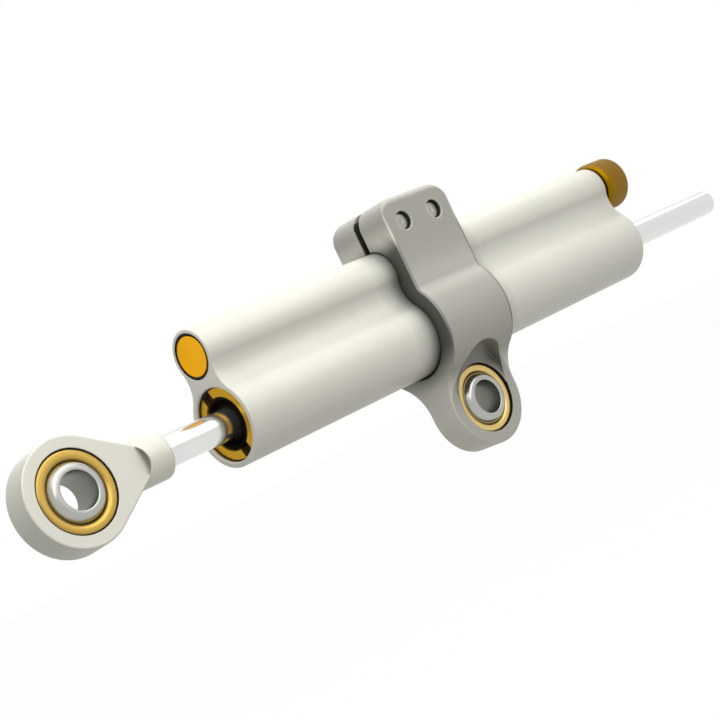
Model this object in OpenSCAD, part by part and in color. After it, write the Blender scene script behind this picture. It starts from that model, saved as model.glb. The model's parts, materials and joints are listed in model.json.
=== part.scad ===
// Motorcycle steering damper with a through rod, a clamp and two ball joints.
// Millimetres. The origin is the middle of the clamp's ball joint, +X runs along the rod
// towards the adjuster knob, -Y is the front and +Z is up, from the ball joint to the body.

/* [Body] */
// Length of the twin-tube body
body_len = 170; // [160:1:200]
// Distance from the body's rod-eye end to the middle of the clamp
clamp_pos = 83.4; // [60:0.2:100]
// Outer diameter of the main tube
main_od = 22.5; // [22.3:0.1:25]
// Bore in which the piston runs
main_bore = 18; // [17:0.1:18.6]
// Outer diameter of the adjuster tube
tube_od = 14.2; // [14:0.1:16]
// Bore of the adjuster tube
tube_bore = 10; // [9:0.1:10.4]
// Distance between the axes of the two tubes
tube_spacing = 18.7; // [18.5:0.1:22]
// Radius of the hollow between the two tubes
web_fillet = 8; // [3:0.5:10]
// Diameter of the drilled ports that join the two bores
port_d = 2.4; // [1.5:0.1:3]
// Chamfer around the mouths of the bores
mouth_chamfer = 0.25; // [0.1:0.05:0.4]

/* [Seal heads] */
// Diameter of the seat that holds each seal head
head_seat_d = 19.5; // [19.2:0.1:19.8]
// How deep a seal head's face lies inside the body
head_recess = 1.1; // [0.6:0.1:2]
// Length of a seal head
head_len = 24; // [22:0.5:28]
// Diameter of the open cup in a seal head's face
head_cup_d = 13.6; // [13:0.1:14.4]
// Depth of that cup
head_cup_depth = 4.4; // [4:0.1:5]
// Width of the two spanner slots in a seal head's face
spanner_slot_w = 3.6; // [2.5:0.1:4.5]
// Depth of the spanner slots
spanner_slot_depth = 2; // [1:0.1:3]
// Angle of the spanner slots from upright
spanner_slot_angle = 20; // [0:5:90]
// Outer diameter of a rod bush
bush_od = 10; // [9.4:0.1:11]
// Length of a rod bush
bush_len = 12; // [8:0.5:13]
// Outer diameter of a rod seal
seal_od = 12; // [11:0.1:13]
// Length of a rod seal
seal_len = 3; // [2:0.1:3.4]
// Length of a wiper's body
wiper_len = 2.2; // [1.5:0.1:2.6]
// Height of a wiper's lip above its body
wiper_lip = 1.2; // [0.6:0.1:1.6]
// Wall of a wiper's lip at its tip
wiper_tip_wall = 0.5; // [0.3:0.1:1]
// Wall of a wiper's lip at its root
wiper_root_wall = 1.7; // [1.1:0.1:2.4]
// Wall of a wiper's collar along the cup
wiper_collar_wall = 0.6; // [0.3:0.1:0.8]
// Height of that collar above the wiper's body
wiper_collar = 2; // [0.5:0.1:2.1]

/* [Rod and piston] */
// Diameter of the rod
rod_d = 8; // [7:0.1:8.4]
// Full stroke of the rod
stroke = 68; // [50:1:72]
// Part of the stroke that is left in the direction of the knob end
travel_in = 17.3; // [10:0.1:20]
// Length of rod that stands out of the body's far end at rest
tail_len = 55.4; // [52:0.2:70]
// Chamfer on the rod's free tip
rod_tip_chamfer = 0.9; // [0.3:0.1:1.5]
// Length of the piston
piston_len = 12; // [10:0.5:16]
// Width of the groove for the piston's ring
ring_groove_w = 5; // [3:0.1:6]
// Depth of the groove for the piston's ring
ring_groove_depth = 0.8; // [0.6:0.05:1.2]
// Thickness of a piston retaining clip
clip_t = 0.9; // [0.6:0.1:1.2]
// Outer diameter of a piston retaining clip
clip_od = 11; // [10:0.1:13]
// Depth of a clip's groove in the rod
clip_groove_depth = 0.4; // [0.3:0.05:0.6]

/* [Rod end] */
// Distance from the body's end face to the middle of the rod end's eye
eye_reach = 48.3; // [46:0.1:60]
// Outer diameter of the eye
eye_d = 27.2; // [26.6:0.1:30]
// Thickness of the eye
eye_t = 8.8; // [8.6:0.1:10]
// Angle by which the eye is turned about the rod
eye_roll = -5; // [-30:1:30]
// Diameter of the rod end's shank
shank_d = 12; // [11:0.1:13]
// Distance from the eye's middle to the shank's end
shank_end = 27.5; // [26:0.1:30]
// Distance from the eye's middle to the middle of the neck's round nose
neck_reach = 15.5; // [15:0.1:18]
// Radius of the neck's taper at its nose
neck_r = 5.5; // [5:0.1:5.9]
// Radius of the run-out where the eye's flats end on the shank
flat_nose_r = 6; // [4:0.1:8]
// Distance from the eye's middle to the end of the flats
flat_end = 20.3; // [19.5:0.1:22]
// Rounding of the shank's end
shank_round = 1; // [0.3:0.1:2]
// Depth of the rod inside the shank
rod_socket = 13; // [8:0.5:13.4]
// Extra depth of the shank's hole beyond the rod
socket_margin = 0.5; // [0:0.1:0.5]

/* [Ball joints] */
// Bore of the two balls, for a 3/8 inch bolt
ball_bore = 9.525; // [8:0.005:9.6]
// Diameter of the balls
ball_d = 16.66; // [16:0.02:17]
// Width of the balls across their flat faces
ball_w = 11; // [10.2:0.1:11.6]
// Outer diameter of the race in the rod end
eye_race_od = 20.64; // [20:0.02:21.2]
// Width of the race in the rod end
eye_race_w = 8.6; // [8:0.1:9]
// Outer diameter of the race in the clamp
clamp_race_od = 19.8; // [19.4:0.1:20.6]
// Width of the race in the clamp
clamp_race_w = 8.1; // [7.6:0.1:9]
// Rounding of a race's outer edges
race_round = 0.5; // [0.2:0.1:0.8]
// Bevel of a race's inner edges
race_lip = 0.6; // [0.2:0.1:0.8]
// Chamfer of the seat around the rod end's race
eye_seat_chamfer = 0.4; // [0.1:0.05:0.6]
// Chamfer of the seat around the clamp's race
clamp_seat_chamfer = 0.2; // [0.1:0.05:0.6]
// Chamfer of the balls' bores
ball_edge = 0.15; // [0.05:0.05:0.4]
// How far the balls' flat faces are drawn in from the sphere
ball_shoulder = 0.3; // [0.1:0.05:0.5]

/* [Clamp] */
// Width of the clamp along the body
clamp_w = 26.8; // [25.6:0.2:32]
// Wall of the clamp around the main tube
clamp_wall = 4.55; // [3.5:0.05:6]
// Wall of the front tab beside the adjuster tube
front_tab_wall = 4.4; // [3.5:0.1:6]
// Wall of the back tab beside the adjuster tube
back_tab_wall = 3.9; // [3.5:0.1:6]
// Height of the tabs above the adjuster tube's axis
tab_height = 18.6; // [17:0.1:22]
// Rounding of the tabs' upper corners
tab_corner = 5.5; // [2:0.5:8]
// Radius of the hollow between a tab and the wall around the main tube
tab_fillet = 3; // [1:0.5:6]
// Width of the slit
slit_w = 2.15; // [1:0.05:3]
// Height of the body's main axis above the clamp's ball joint
pivot_drop = 23.5; // [23:0.1:27]
// Thickness of the ear that holds the ball joint
ear_t = 9.55; // [9:0.05:12]
// Radius of the hollow between the ear and the wall around the main tube
ear_fillet = 12.5; // [8:0.5:14]
// How much wider than its seat the relief around the clamp's race is, on each side
relief_margin = 0.1; // [0.05:0.05:0.5]
// How far that relief runs on towards the body
relief_rise = 4.5; // [0:0.1:4.6]
// Wall that the relief leaves around the main tube
relief_wall = 1.3; // [1:0.1:2]

/* [Clamp screws] */
// Diameter of the clamp screws
screw_d = 5; // [4:0.1:5.2]
// Head diameter of the clamp screws
screw_head_d = 8.5; // [7.6:0.1:8.8]
// Head height of the clamp screws
screw_head_h = 5; // [4:0.1:5.4]
// Width across the flats of the screws' sockets
screw_hex = 4; // [3:0.5:4.5]
// Depth of the screws' sockets
screw_hex_depth = 2.6; // [1.5:0.1:3]
// How far the screws' heads lie behind the back face
screw_head_sink = 0.2; // [0:0.1:1]
// Distance between the two screws
screw_spacing = 12.8; // [11:0.1:14]
// Height of the screws above the adjuster tube's axis
screw_height = 11.4; // [11:0.1:12.4]
// How far the screws' ends lie behind the front face
screw_end_recess = 1.2; // [0.4:0.1:3]
// Chamfer of the screw holes in the front face
screw_hole_chamfer = 0.3; // [0.1:0.05:0.6]

/* [Reservoir] */
// Diameter of the seat at both ends of the adjuster tube
end_seat_d = 12.2; // [11.6:0.1:12.6]
// Length of the reservoir plug's body
plug_len = 5.7; // [5:0.1:8]
// Diameter of the plug's raised face
plug_face_d = 10.7; // [10:0.1:11.2]
// How deep the plug's face lies inside the tube
plug_recess = 0.1; // [0.05:0.05:0.6]
// Depth of the dish in the plug's face
plug_dish = 0.2; // [0.05:0.05:0.5]
// Width of the flat rim around that dish
plug_rim = 0.6; // [0.3:0.1:1.5]
// Wire thickness of the plug's snap ring
snap_wire = 0.9; // [0.6:0.1:1]
// Length of the separator piston
separator_len = 7; // [6:0.5:9]
// Wall around the hollow in the separator piston
separator_wall = 2; // [1.5:0.1:3]
// Length of the separator's spring
separator_spring_len = 10; // [8:0.5:14]
// Wire thickness of the separator's spring
spring_wire = 0.9; // [0.5:0.1:1.1]
// Outer diameter of the separator's spring
spring_od = 8.4; // [7:0.1:8.8]
// Turns of the separator's spring
spring_turns = 5; // [3:1:6]

/* [Adjuster] */
// Diameter of the knob over its knurl
knob_d = 16.2; // [15:0.1:18]
// Length of the knob
knob_len = 11.2; // [9:0.1:14]
// Gap between the body and the knob
knob_gap = 0.35; // [0.2:0.05:1]
// Chamfer of the knob's outer edge
knob_chamfer = 1; // [0.4:0.1:1.4]
// Length over which the knob narrows towards the body
knob_taper_len = 2; // [1:0.1:3]
// How much smaller the knob's radius is beside the body
knob_taper = 0.6; // [0.4:0.1:0.8]
// Number of knurl ridges around the knob
knurl_count = 72; // [48:4:96]
// Depth of the knurl
knurl_depth = 0.25; // [0.1:0.05:0.4]
// Diameter of the spindle behind the knob
spindle_d = 4; // [3.5:0.1:4.4]
// Length of the spindle inside the knob
spindle_grip = 7; // [5:0.5:8]
// Length of the collar that holds the spindle in the housing
collar_len = 1; // [0.8:0.1:1.2]
// Height of that collar
collar_rim = 0.5; // [0.3:0.1:0.5]
// Diameter of the screw that holds the knob
knob_screw_d = 2.5; // [2:0.1:2.6]
// Head diameter of that screw
knob_screw_head_d = 4.6; // [4:0.1:5]
// Head height of that screw
knob_screw_head_h = 1.8; // [1.4:0.1:2]
// Width across the flats of that screw's socket
knob_screw_hex = 2; // [1.5:0.1:2.2]
// Depth of that socket
knob_screw_hex_depth = 1.2; // [0.8:0.1:1.2]
// Depth of the seat of that screw's head
knob_screw_sink = 2; // [1.9:0.1:2.6]
// Depth of the screw's hole in the spindle
knob_screw_depth = 4; // [3:0.5:4.5]
// Diameter of the spindle's screw thread
spindle_screw_d = 2.5; // [2:0.1:3]
// Length of the adjuster housing
housing_len = 16; // [15:0.5:20]
// Length of the housing's spindle bearing
spindle_bearing = 5.5; // [5:0.5:7]
// Length of the housing's bearing around the needle
needle_bearing = 2.5; // [2.3:0.1:3]
// Diameter of the needle's stem
needle_d = 4; // [3.6:0.1:4.6]
// Width of the needle's square head
needle_head_w = 5; // [4.8:0.1:5.4]
// Length of the needle's square head
needle_head_len = 4; // [3:0.5:4.5]
// Thread pitch of the spindle's screw
adjuster_pitch = 0.75; // [0.5:0.05:1]
// Turns of the knob each way from rest
adjuster_turns = 1.5; // [0.5:0.5:1.5]
// Orifice of the valve seat
orifice_d = 2.4; // [1.8:0.1:3]
// Length of the valve seat
valve_seat_len = 4; // [3:0.5:6]
// Chamfer at the mouth of the orifice
orifice_chamfer = 0.4; // [0.2:0.05:0.6]
// Diameter of the needle's blunt tip
needle_tip_d = 0.6; // [0.3:0.1:1]
// Distance from the body's end face to the valve seat's near end
valve_seat_depth = 30; // [29.5:0.5:34]
// Diameter of the detent ball
detent_d = 1.5; // [1:0.1:1.6]
// Radius at which the detent ball sits
detent_r = 4.2; // [4:0.1:4.4]
// Depth of the detent ball's hole
detent_depth = 4.5; // [4:0.5:7]
// Wire thickness of the detent spring
detent_wire = 0.3; // [0.2:0.05:0.35]
// Turns of the detent spring
detent_turns = 5; // [3:1:6]

/* [Sealing rings] */
// Section of the seal heads' sealing rings
head_ring_d = 1.5; // [1:0.1:1.8]
// Section of the smaller sealing rings
small_ring_d = 1; // [0.8:0.1:1.1]

/* [Clearances] */
// Radial gap of running fits
run_gap = 0.05; // [0.03:0.01:0.08]
// Radial gap of seated pieces
seat_gap = 0.02; // [0.01:0.01:0.04]
// End gap between pieces that turn or slide against each other
end_gap = 0.1; // [0.05:0.05:0.2]
// Metal left between one seat, port or groove and the next
land = 1; // [0.8:0.1:1.4]

/* [Hidden] */
$fn = 96;

// Colours as on the real object
silver = [0.80, 0.79, 0.75];
grey = [0.62, 0.61, 0.57];
gold = [0.85, 0.63, 0.15];
bronze = [0.66, 0.46, 0.12];
steel = [0.75, 0.75, 0.76];
rubber = [0.06, 0.06, 0.06];
brass = [0.80, 0.64, 0.34];

// Places that follow from the sizes
front_x = -clamp_pos;
rear_x = body_len - clamp_pos;
main_z = pivot_drop;
tube_z = pivot_drop + tube_spacing;
eye_x = front_x - eye_reach;
piston_x = (front_x + rear_x) / 2 + stroke / 2 - travel_in;
chamber_s = head_recess + head_len;
port_s = chamber_s + port_d / 2 + land;
overlap = 0.01;

// The hollow between the tubes: middle of the arc that touches both circles
web_d1 = main_od / 2 + web_fillet;
web_d2 = tube_od / 2 + web_fillet;
web_z = (web_d1 * web_d1 - web_d2 * web_d2 + tube_spacing * tube_spacing) / (2 * tube_spacing);
web_y = sqrt(web_d1 * web_d1 - web_z * web_z);

// Puts a piece that is turned about Z onto an axis along X
module on_axis(x, z) {
  translate([x, 0, z]) rotate([0, 90, 0]) children();
}

// The same from the front or the rear end face of the body, with Z running into the body
module into_front(z) {
  on_axis(front_x, z) children();
}
module into_rear(z) {
  translate([rear_x, 0, z]) rotate([0, -90, 0]) children();
}

// A tube or ring from its radii and its ends
module ring(r_out, r_in, from, to) {
  translate([0, 0, from]) difference() {
    cylinder(r = r_out, h = to - from);
    translate([0, 0, -1]) cylinder(r = r_in, h = to - from + 2);
  }
}

// A sealing ring of round section around Z
module o_ring(r_mid, section, z) {
  translate([0, 0, z]) rotate_extrude() translate([r_mid, 0]) circle(d = section, $fn = 32);
}

// A chamfer cutter for the mouth of a bore at Z 0, opening towards -Z
module mouth(r, c) {
  translate([0, 0, -overlap]) cylinder(r1 = r + c + overlap, r2 = r - overlap, h = c + 2 * overlap);
}

// A tube swept along a helix about Z, closed at both ends
module coil(r_mid, wire, length, turns, sides = 8, steps = 24) {
  n = turns * steps;
  rise = length - wire;
  points = [
    for (i = [0:n])
      for (k = [0:sides - 1])
        let (a = 360 * i / steps, b = 360 * k / sides, r = r_mid + wire / 2 * cos(b))
          [r * cos(a), r * sin(a), wire / 2 + rise * i / n + wire / 2 * sin(b)]
  ];
  sides_faces = [
    for (i = [0:n - 1])
      for (k = [0:sides - 1])
        let (a = i * sides + k, b = i * sides + (k + 1) % sides)
          each [[a, a + sides, b], [b, a + sides, b + sides]]
  ];
  first = [for (k = [1:sides - 2]) [0, k, k + 1]];
  last = [for (k = [1:sides - 2]) [n * sides, n * sides + k + 1, n * sides + k]];
  polyhedron(points, concat(sides_faces, first, last));
}

// Outline of the body, grown outwards by an even margin, seen along X
module body_outline(grow) {
  r1 = main_od / 2 + grow;
  r2 = tube_od / 2 + grow;
  a1 = [r1 * web_y / web_d1, r1 * web_z / web_d1];
  a2 = [r2 * web_y / web_d2, tube_spacing + r2 * (web_z - tube_spacing) / web_d2];
  circle(r = r1);
  translate([0, tube_spacing]) circle(r = r2);
  difference() {
    polygon([[-a1[0], a1[1]], a1, a2, [-a2[0], a2[1]]]);
    for (side = [-1, 1]) translate([side * web_y, web_z]) circle(r = web_fillet - grow);
  }
}

// A solid with a section seen along X
module along_x(from, to) {
  translate([from, 0, main_z]) rotate([90, 0, 90]) linear_extrude(to - from) children();
}

// A solid with a section seen along -Y
module along_y(from, to) {
  translate([0, to, 0]) rotate([90, 0, 0]) linear_extrude(to - from) children();
}

// Twin-tube body with its two bores, their seats and the ports between them
seat_r = head_seat_d / 2;
end_seat_r = end_seat_d / 2;
snap_s = plug_recess + snap_wire / 2 + 3 * run_gap;
snap_groove_r = plug_face_d / 2 + snap_wire + run_gap;
plug_seat_s = plug_recess + snap_wire + 6 * run_gap + plug_len;
module bore_ends() {
  cylinder(r = seat_r, h = chamber_s);
  mouth(seat_r, mouth_chamfer);
}
module barrel() {
  color(silver) difference() {
    along_x(front_x, rear_x) body_outline(0);
    on_axis(front_x - 1, main_z) cylinder(d = main_bore, h = body_len + 2);
    on_axis(front_x - 1, tube_z) cylinder(d = tube_bore, h = body_len + 2);
    into_front(main_z) bore_ends();
    into_rear(main_z) bore_ends();
    into_front(tube_z) {
      cylinder(r = end_seat_r, h = plug_seat_s);
      translate([0, 0, snap_s - snap_wire / 2 - run_gap])
        cylinder(r = snap_groove_r, h = snap_wire + 2 * run_gap);
    }
    into_rear(tube_z) {
      cylinder(r = end_seat_r, h = housing_len);
      mouth(end_seat_r, mouth_chamfer);
    }
    for (x = [front_x + port_s, rear_x - port_s])
      translate([x, 0, main_z]) cylinder(d = port_d, h = tube_spacing);
  }
}

// Seal heads with what they carry: all sizes are measured inwards from the body's end face
head_r = seat_r - run_gap;
cup_r = head_cup_d / 2;
cup_s = head_recess + head_cup_depth;
seal_s = cup_s + seal_len;
bush_s = chamber_s - bush_len - land;
head_ring_s = seal_s + head_ring_d;
head_ring_r = seat_r - head_ring_d / 2 - seat_gap;
rod_r = rod_d / 2;
module seal_head() {
  color(gold) difference() {
    translate([0, 0, head_recess]) cylinder(r = head_r, h = head_len);
    translate([0, 0, -1]) cylinder(r = cup_r, h = cup_s + 1);
    translate([0, 0, cup_s - overlap]) cylinder(r = seal_od / 2 + seat_gap, h = seal_len + overlap);
    cylinder(r = rod_r + 4 * run_gap, h = chamber_s + 1);
    translate([0, 0, bush_s]) cylinder(r = bush_od / 2 + seat_gap, h = chamber_s);
    translate([0, 0, head_ring_s - head_ring_d / 2 - run_gap])
      ring(head_r + 1, head_ring_r - head_ring_d / 2 - seat_gap, 0, head_ring_d + 2 * run_gap);
    rotate([0, 0, 180 - spanner_slot_angle])
      translate([-head_r - 1, -spanner_slot_w / 2, head_recess - 1])
        cube([2 * head_r + 2, spanner_slot_w, spanner_slot_depth + 1]);
  }
}
module head_ring() {
  color(rubber) o_ring(head_ring_r, head_ring_d, head_ring_s);
}
module rod_bush() {
  color(brass) ring(bush_od / 2, rod_r + run_gap, bush_s, bush_s + bush_len);
}
module rod_seal() {
  color(rubber) ring(seal_od / 2, rod_r + run_gap, cup_s, cup_s + seal_len - end_gap);
}
module wiper() {
  base = cup_s - end_gap / 2;
  color(rubber) difference() {
    union() {
      translate([0, 0, base - wiper_len]) cylinder(r = cup_r - seat_gap, h = wiper_len);
      ring(cup_r - seat_gap, cup_r - wiper_collar_wall, base - wiper_len - wiper_collar, base - overlap);
      translate([0, 0, base - wiper_len - wiper_lip])
        cylinder(r1 = rod_r + wiper_tip_wall, r2 = rod_r + wiper_root_wall, h = wiper_lip + overlap);
    }
    cylinder(r = rod_r + run_gap, h = chamber_s);
  }
}

module front_seal_head() {
  into_front(main_z) seal_head();
}
module front_head_ring() {
  into_front(main_z) head_ring();
}
module front_rod_bush() {
  into_front(main_z) rod_bush();
}
module front_rod_seal() {
  into_front(main_z) rod_seal();
}
module front_wiper() {
  into_front(main_z) wiper();
}
module rear_seal_head() {
  into_rear(main_z) seal_head();
}
module rear_head_ring() {
  into_rear(main_z) head_ring();
}
module rear_rod_bush() {
  into_rear(main_z) rod_bush();
}
module rear_rod_seal() {
  into_rear(main_z) rod_seal();
}
module rear_wiper() {
  into_rear(main_z) wiper();
}

// The rod runs through the body: it starts in the rod end and carries the piston
rod_from = eye_x + shank_end - rod_socket;
rod_to = rear_x + tail_len;
module rod() {
  color(steel) difference() {
    on_axis(rod_from, main_z) {
      cylinder(r = rod_r, h = rod_to - rod_from - rod_tip_chamfer);
      translate([0, 0, rod_to - rod_from - rod_tip_chamfer])
        cylinder(r1 = rod_r, r2 = rod_r - rod_tip_chamfer, h = rod_tip_chamfer);
    }
    for (side = [-1, 1])
      on_axis(piston_x + side * (piston_len + clip_t + end_gap) / 2, main_z)
        ring(rod_r + 1, rod_r - clip_groove_depth, -clip_t / 2 - run_gap, clip_t / 2 + run_gap);
  }
}
piston_r = main_bore / 2 - 2 * run_gap;
band_in_r = piston_r - ring_groove_depth + run_gap;
inner_ring_r = rod_r + small_ring_d / 2 + seat_gap;
module piston() {
  inner_half = small_ring_d / 2 + seat_gap;
  color(silver) on_axis(piston_x, main_z) difference() {
    ring(piston_r, rod_r + seat_gap, -piston_len / 2, piston_len / 2);
    ring(piston_r + 1, piston_r - ring_groove_depth, -ring_groove_w / 2, ring_groove_w / 2);
    ring(inner_ring_r + inner_half, rod_r - 1, -inner_half, inner_half);
  }
}
module piston_inner_ring() {
  color(rubber) on_axis(piston_x, main_z) o_ring(inner_ring_r, small_ring_d, 0);
}
module piston_band() {
  color(brass) on_axis(piston_x, main_z)
    ring(main_bore / 2 - run_gap, band_in_r, -ring_groove_w / 2 + end_gap, ring_groove_w / 2 - end_gap);
}
module piston_clips() {
  color(grey) for (side = [-1, 1])
    on_axis(piston_x + side * (piston_len + clip_t + end_gap) / 2, main_z)
      ring(clip_od / 2, rod_r - clip_groove_depth + seat_gap, -clip_t / 2, clip_t / 2);
}

// Ball joints, around Z at the origin
ball_r = ball_d / 2;
module ball() {
  half = ball_w / 2;
  face_r = sqrt(ball_r * ball_r - half * half);
  flat_r = face_r - ball_shoulder;
  color(steel) difference() {
    intersection() {
      sphere(r = ball_r);
      rotate_extrude() polygon([
        [0, -half], [flat_r, -half], [flat_r + half, 0], [flat_r, half], [0, half]
      ]);
    }
    translate([0, 0, -half - 1]) cylinder(d = ball_bore, h = ball_w + 2);
    for (side = [-1, 1]) scale([1, 1, side]) translate([0, 0, -half]) mouth(ball_bore / 2, ball_edge);
  }
}
module race(od, width) {
  half = width / 2;
  open_r = sqrt(ball_r * ball_r - half * half);
  color(gold) difference() {
    rotate_extrude() {
      translate([0, -half + race_round]) square([od / 2, width - 2 * race_round]);
      translate([0, -half]) square([od / 2 - race_round, width]);
      for (side = [-1, 1])
        translate([od / 2 - race_round, side * (half - race_round)]) circle(r = race_round);
    }
    sphere(r = ball_r + run_gap);
    for (side = [-1, 1]) scale([1, 1, side])
      translate([0, 0, -half]) mouth(open_r + run_gap, race_lip);
  }
}

module at_eye() {
  translate([eye_x, 0, main_z]) rotate([eye_roll, 0, 0]) children();
}
module rod_end_race() {
  at_eye() rotate([90, 0, 0]) race(eye_race_od, eye_race_w);
}
module rod_end_ball() {
  at_eye() rotate([90, 0, 0]) ball();
}
module clamp_race() {
  rotate([90, 0, 0]) race(clamp_race_od, clamp_race_w);
}
module clamp_ball() {
  rotate([90, 0, 0]) ball();
}

// Rod end: a flat eye that tapers into a round shank, around its own middle
module eye_outline() {
  slope = (eye_d / 2 - neck_r) / neck_reach;
  rise = sqrt(1 - slope * slope);
  a = [eye_d / 2 * slope, eye_d / 2 * rise];
  b = [neck_reach + neck_r * slope, neck_r * rise];
  circle(d = eye_d);
  translate([neck_reach, 0]) circle(r = neck_r);
  polygon([[a[0], -a[1]], [b[0], -b[1]], b, a]);
}
module flats_outline() {
  nose_x = flat_end - flat_nose_r;
  translate([nose_x, 0]) circle(r = flat_nose_r);
  translate([-eye_d, -eye_d]) square([eye_d + nose_x, 2 * eye_d]);
}
module rod_end() {
  seat = eye_race_od / 2 + seat_gap;
  half = eye_t / 2;
  color(silver) at_eye() difference() {
    union() {
      along_y(-half, half) eye_outline();
      difference() {
        rotate([0, 90, 0]) {
          translate([0, 0, neck_reach - 1])
            cylinder(d = shank_d, h = shank_end - shank_round - neck_reach + 1);
          translate([0, 0, neck_reach - 1])
            cylinder(d = shank_d - 2 * shank_round, h = shank_end - neck_reach + 1);
          translate([0, 0, shank_end - shank_round]) rotate_extrude()
            translate([shank_d / 2 - shank_round, 0]) circle(r = shank_round);
        }
        along_y(half, shank_d) flats_outline();
        along_y(-shank_d, -half) flats_outline();
      }
    }
    rotate([0, 90, 0]) translate([0, 0, shank_end - rod_socket - socket_margin])
      cylinder(r = rod_r + seat_gap, h = rod_socket + 2);
    rotate([90, 0, 0]) {
      cylinder(r = seat, h = 2 * eye_t, center = true);
      for (side = [-1, 1]) scale([1, 1, side]) translate([0, 0, -half]) mouth(seat, eye_seat_chamfer);
    }
  }
}

// Clamp: its section along X meets its outline along Y
wrap_r = main_od / 2 + run_gap + clamp_wall;
front_tab_y = tube_od / 2 + run_gap + front_tab_wall;
back_tab_y = tube_od / 2 + run_gap + back_tab_wall;
tab_top = tube_spacing + tab_height;
ear_half = ear_t / 2;
// Hollow that runs from the round wall to a flat flank, for the side y > 0 and z > 0
module hollow(flank_y, r) {
  z = sqrt(pow(wrap_r + r, 2) - pow(flank_y + r, 2));
  share = wrap_r / (wrap_r + r);
  difference() {
    polygon([[0, 0], [share * (flank_y + r), share * z], [flank_y, z], [0, z]]);
    translate([flank_y + r, z]) circle(r = r);
  }
}
module clamp_section() {
  circle(r = wrap_r);
  translate([-front_tab_y, 0]) square([front_tab_y, tab_top]);
  square([back_tab_y, tab_top]);
  mirror([1, 0]) hollow(front_tab_y, tab_fillet);
  hollow(back_tab_y, tab_fillet);
  translate([-ear_half, -pivot_drop - clamp_w]) square([ear_t, pivot_drop + clamp_w]);
  for (side = [0, 1]) mirror([side, 0]) mirror([0, 1]) hollow(ear_half, ear_fillet);
}
module clamp_face() {
  top = pivot_drop + tab_top;
  half = clamp_w / 2;
  circle(r = half);
  translate([-half, 0]) square([clamp_w, top - tab_corner]);
  translate([tab_corner - half, 0]) square([clamp_w - 2 * tab_corner, top]);
  for (side = [-1, 1]) translate([side * (half - tab_corner), top - tab_corner]) circle(r = tab_corner);
}
module screw_holes() {
  for (side = [-1, 1]) translate([side * screw_spacing / 2, 0, tube_z + screw_height]) {
    rotate([90, 0, 0]) translate([0, 0, -back_tab_y - 1]) {
      cylinder(r = screw_d / 2 + run_gap, h = back_tab_y + front_tab_y + 2);
      cylinder(r = screw_head_d / 2 + 3 * run_gap, h = screw_head_h + screw_head_sink + end_gap + 1);
    }
    rotate([-90, 0, 0]) translate([0, 0, -front_tab_y]) mouth(screw_d / 2 + run_gap, screw_hole_chamfer);
  }
}
// Room in front of the race, open towards the body and stopping short of the main tube's wall
module relief(r) {
  difference() {
    translate([0, 0, ear_half]) hull()
      for (rise = [0, relief_rise]) translate([0, rise, 0]) cylinder(r = r, h = 2 * wrap_r);
    translate([0, pivot_drop, 0]) rotate([0, 90, 0])
      cylinder(r = main_od / 2 + run_gap + relief_wall, h = 2 * clamp_w, center = true);
  }
}
module clamp() {
  seat = clamp_race_od / 2 + seat_gap;
  color(grey) difference() {
    intersection() {
      along_x(-clamp_w / 2, clamp_w / 2) clamp_section();
      along_y(-2 * wrap_r, 2 * wrap_r) clamp_face();
    }
    along_x(-clamp_w, clamp_w) body_outline(run_gap);
    translate([-clamp_w, -slit_w / 2, tube_z]) cube([2 * clamp_w, slit_w, 2 * tab_height]);
    screw_holes();
    rotate([90, 0, 0]) {
      cylinder(r = seat, h = 2 * ear_t, center = true);
      for (side = [-1, 1]) scale([1, 1, side]) {
        translate([0, 0, -ear_half]) mouth(seat, clamp_seat_chamfer);
        relief(seat + clamp_seat_chamfer + relief_margin);
      }
    }
  }
}
module clamp_screws() {
  head_y = back_tab_y - screw_head_sink;
  color(steel) for (side = [-1, 1])
    translate([side * screw_spacing / 2, head_y, tube_z + screw_height]) rotate([90, 0, 0]) difference() {
      union() {
        cylinder(d = screw_head_d, h = screw_head_h);
        cylinder(d = screw_d, h = head_y + front_tab_y - screw_end_recess);
      }
      translate([0, 0, -1]) cylinder(d = screw_hex / cos(30), h = screw_hex_depth + 1, $fn = 6);
    }
}

// Reservoir in the adjuster tube, measured inwards from the front end face
plug_body_s = plug_seat_s - plug_len;
plug_r = end_seat_r - run_gap;
plug_ring_r = end_seat_r - small_ring_d / 2 - seat_gap;
plug_ring_s = plug_body_s + plug_len / 2;
bore_r = tube_bore / 2;
spring_s = plug_seat_s + end_gap;
separator_s = spring_s + separator_spring_len + end_gap;
separator_r = bore_r - run_gap;
module ring_groove(outer, mid, s) {
  half = small_ring_d / 2 + run_gap;
  translate([0, 0, s]) ring(outer + 1, mid - small_ring_d / 2 - seat_gap, -half, half);
}
module reservoir_plug() {
  dish_r = plug_face_d / 2 - plug_rim;
  color(gold) into_front(tube_z) difference() {
    union() {
      translate([0, 0, plug_recess]) cylinder(d = plug_face_d, h = plug_body_s - plug_recess + overlap);
      translate([0, 0, plug_body_s]) cylinder(r = plug_r, h = plug_len);
    }
    translate([0, 0, plug_recess - overlap])
      cylinder(r1 = dish_r, r2 = dish_r - plug_dish, h = plug_dish + overlap);
    ring_groove(plug_r, plug_ring_r, plug_ring_s);
  }
}
module plug_ring() {
  color(rubber) into_front(tube_z) o_ring(plug_ring_r, small_ring_d, plug_ring_s);
}
module plug_snap_ring() {
  color(rubber) into_front(tube_z) o_ring(plug_face_d / 2 + snap_wire / 2 + seat_gap, snap_wire, snap_s);
}
separator_ring_r = bore_r - small_ring_d / 2 - seat_gap;
separator_ring_s = separator_s + separator_len / 2;
module separator() {
  color(silver) into_front(tube_z) difference() {
    translate([0, 0, separator_s]) cylinder(r = separator_r, h = separator_len);
    translate([0, 0, separator_ring_s + small_ring_d])
      cylinder(r = separator_r - separator_wall, h = separator_len);
    ring_groove(separator_r, separator_ring_r, separator_ring_s);
  }
}
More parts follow.
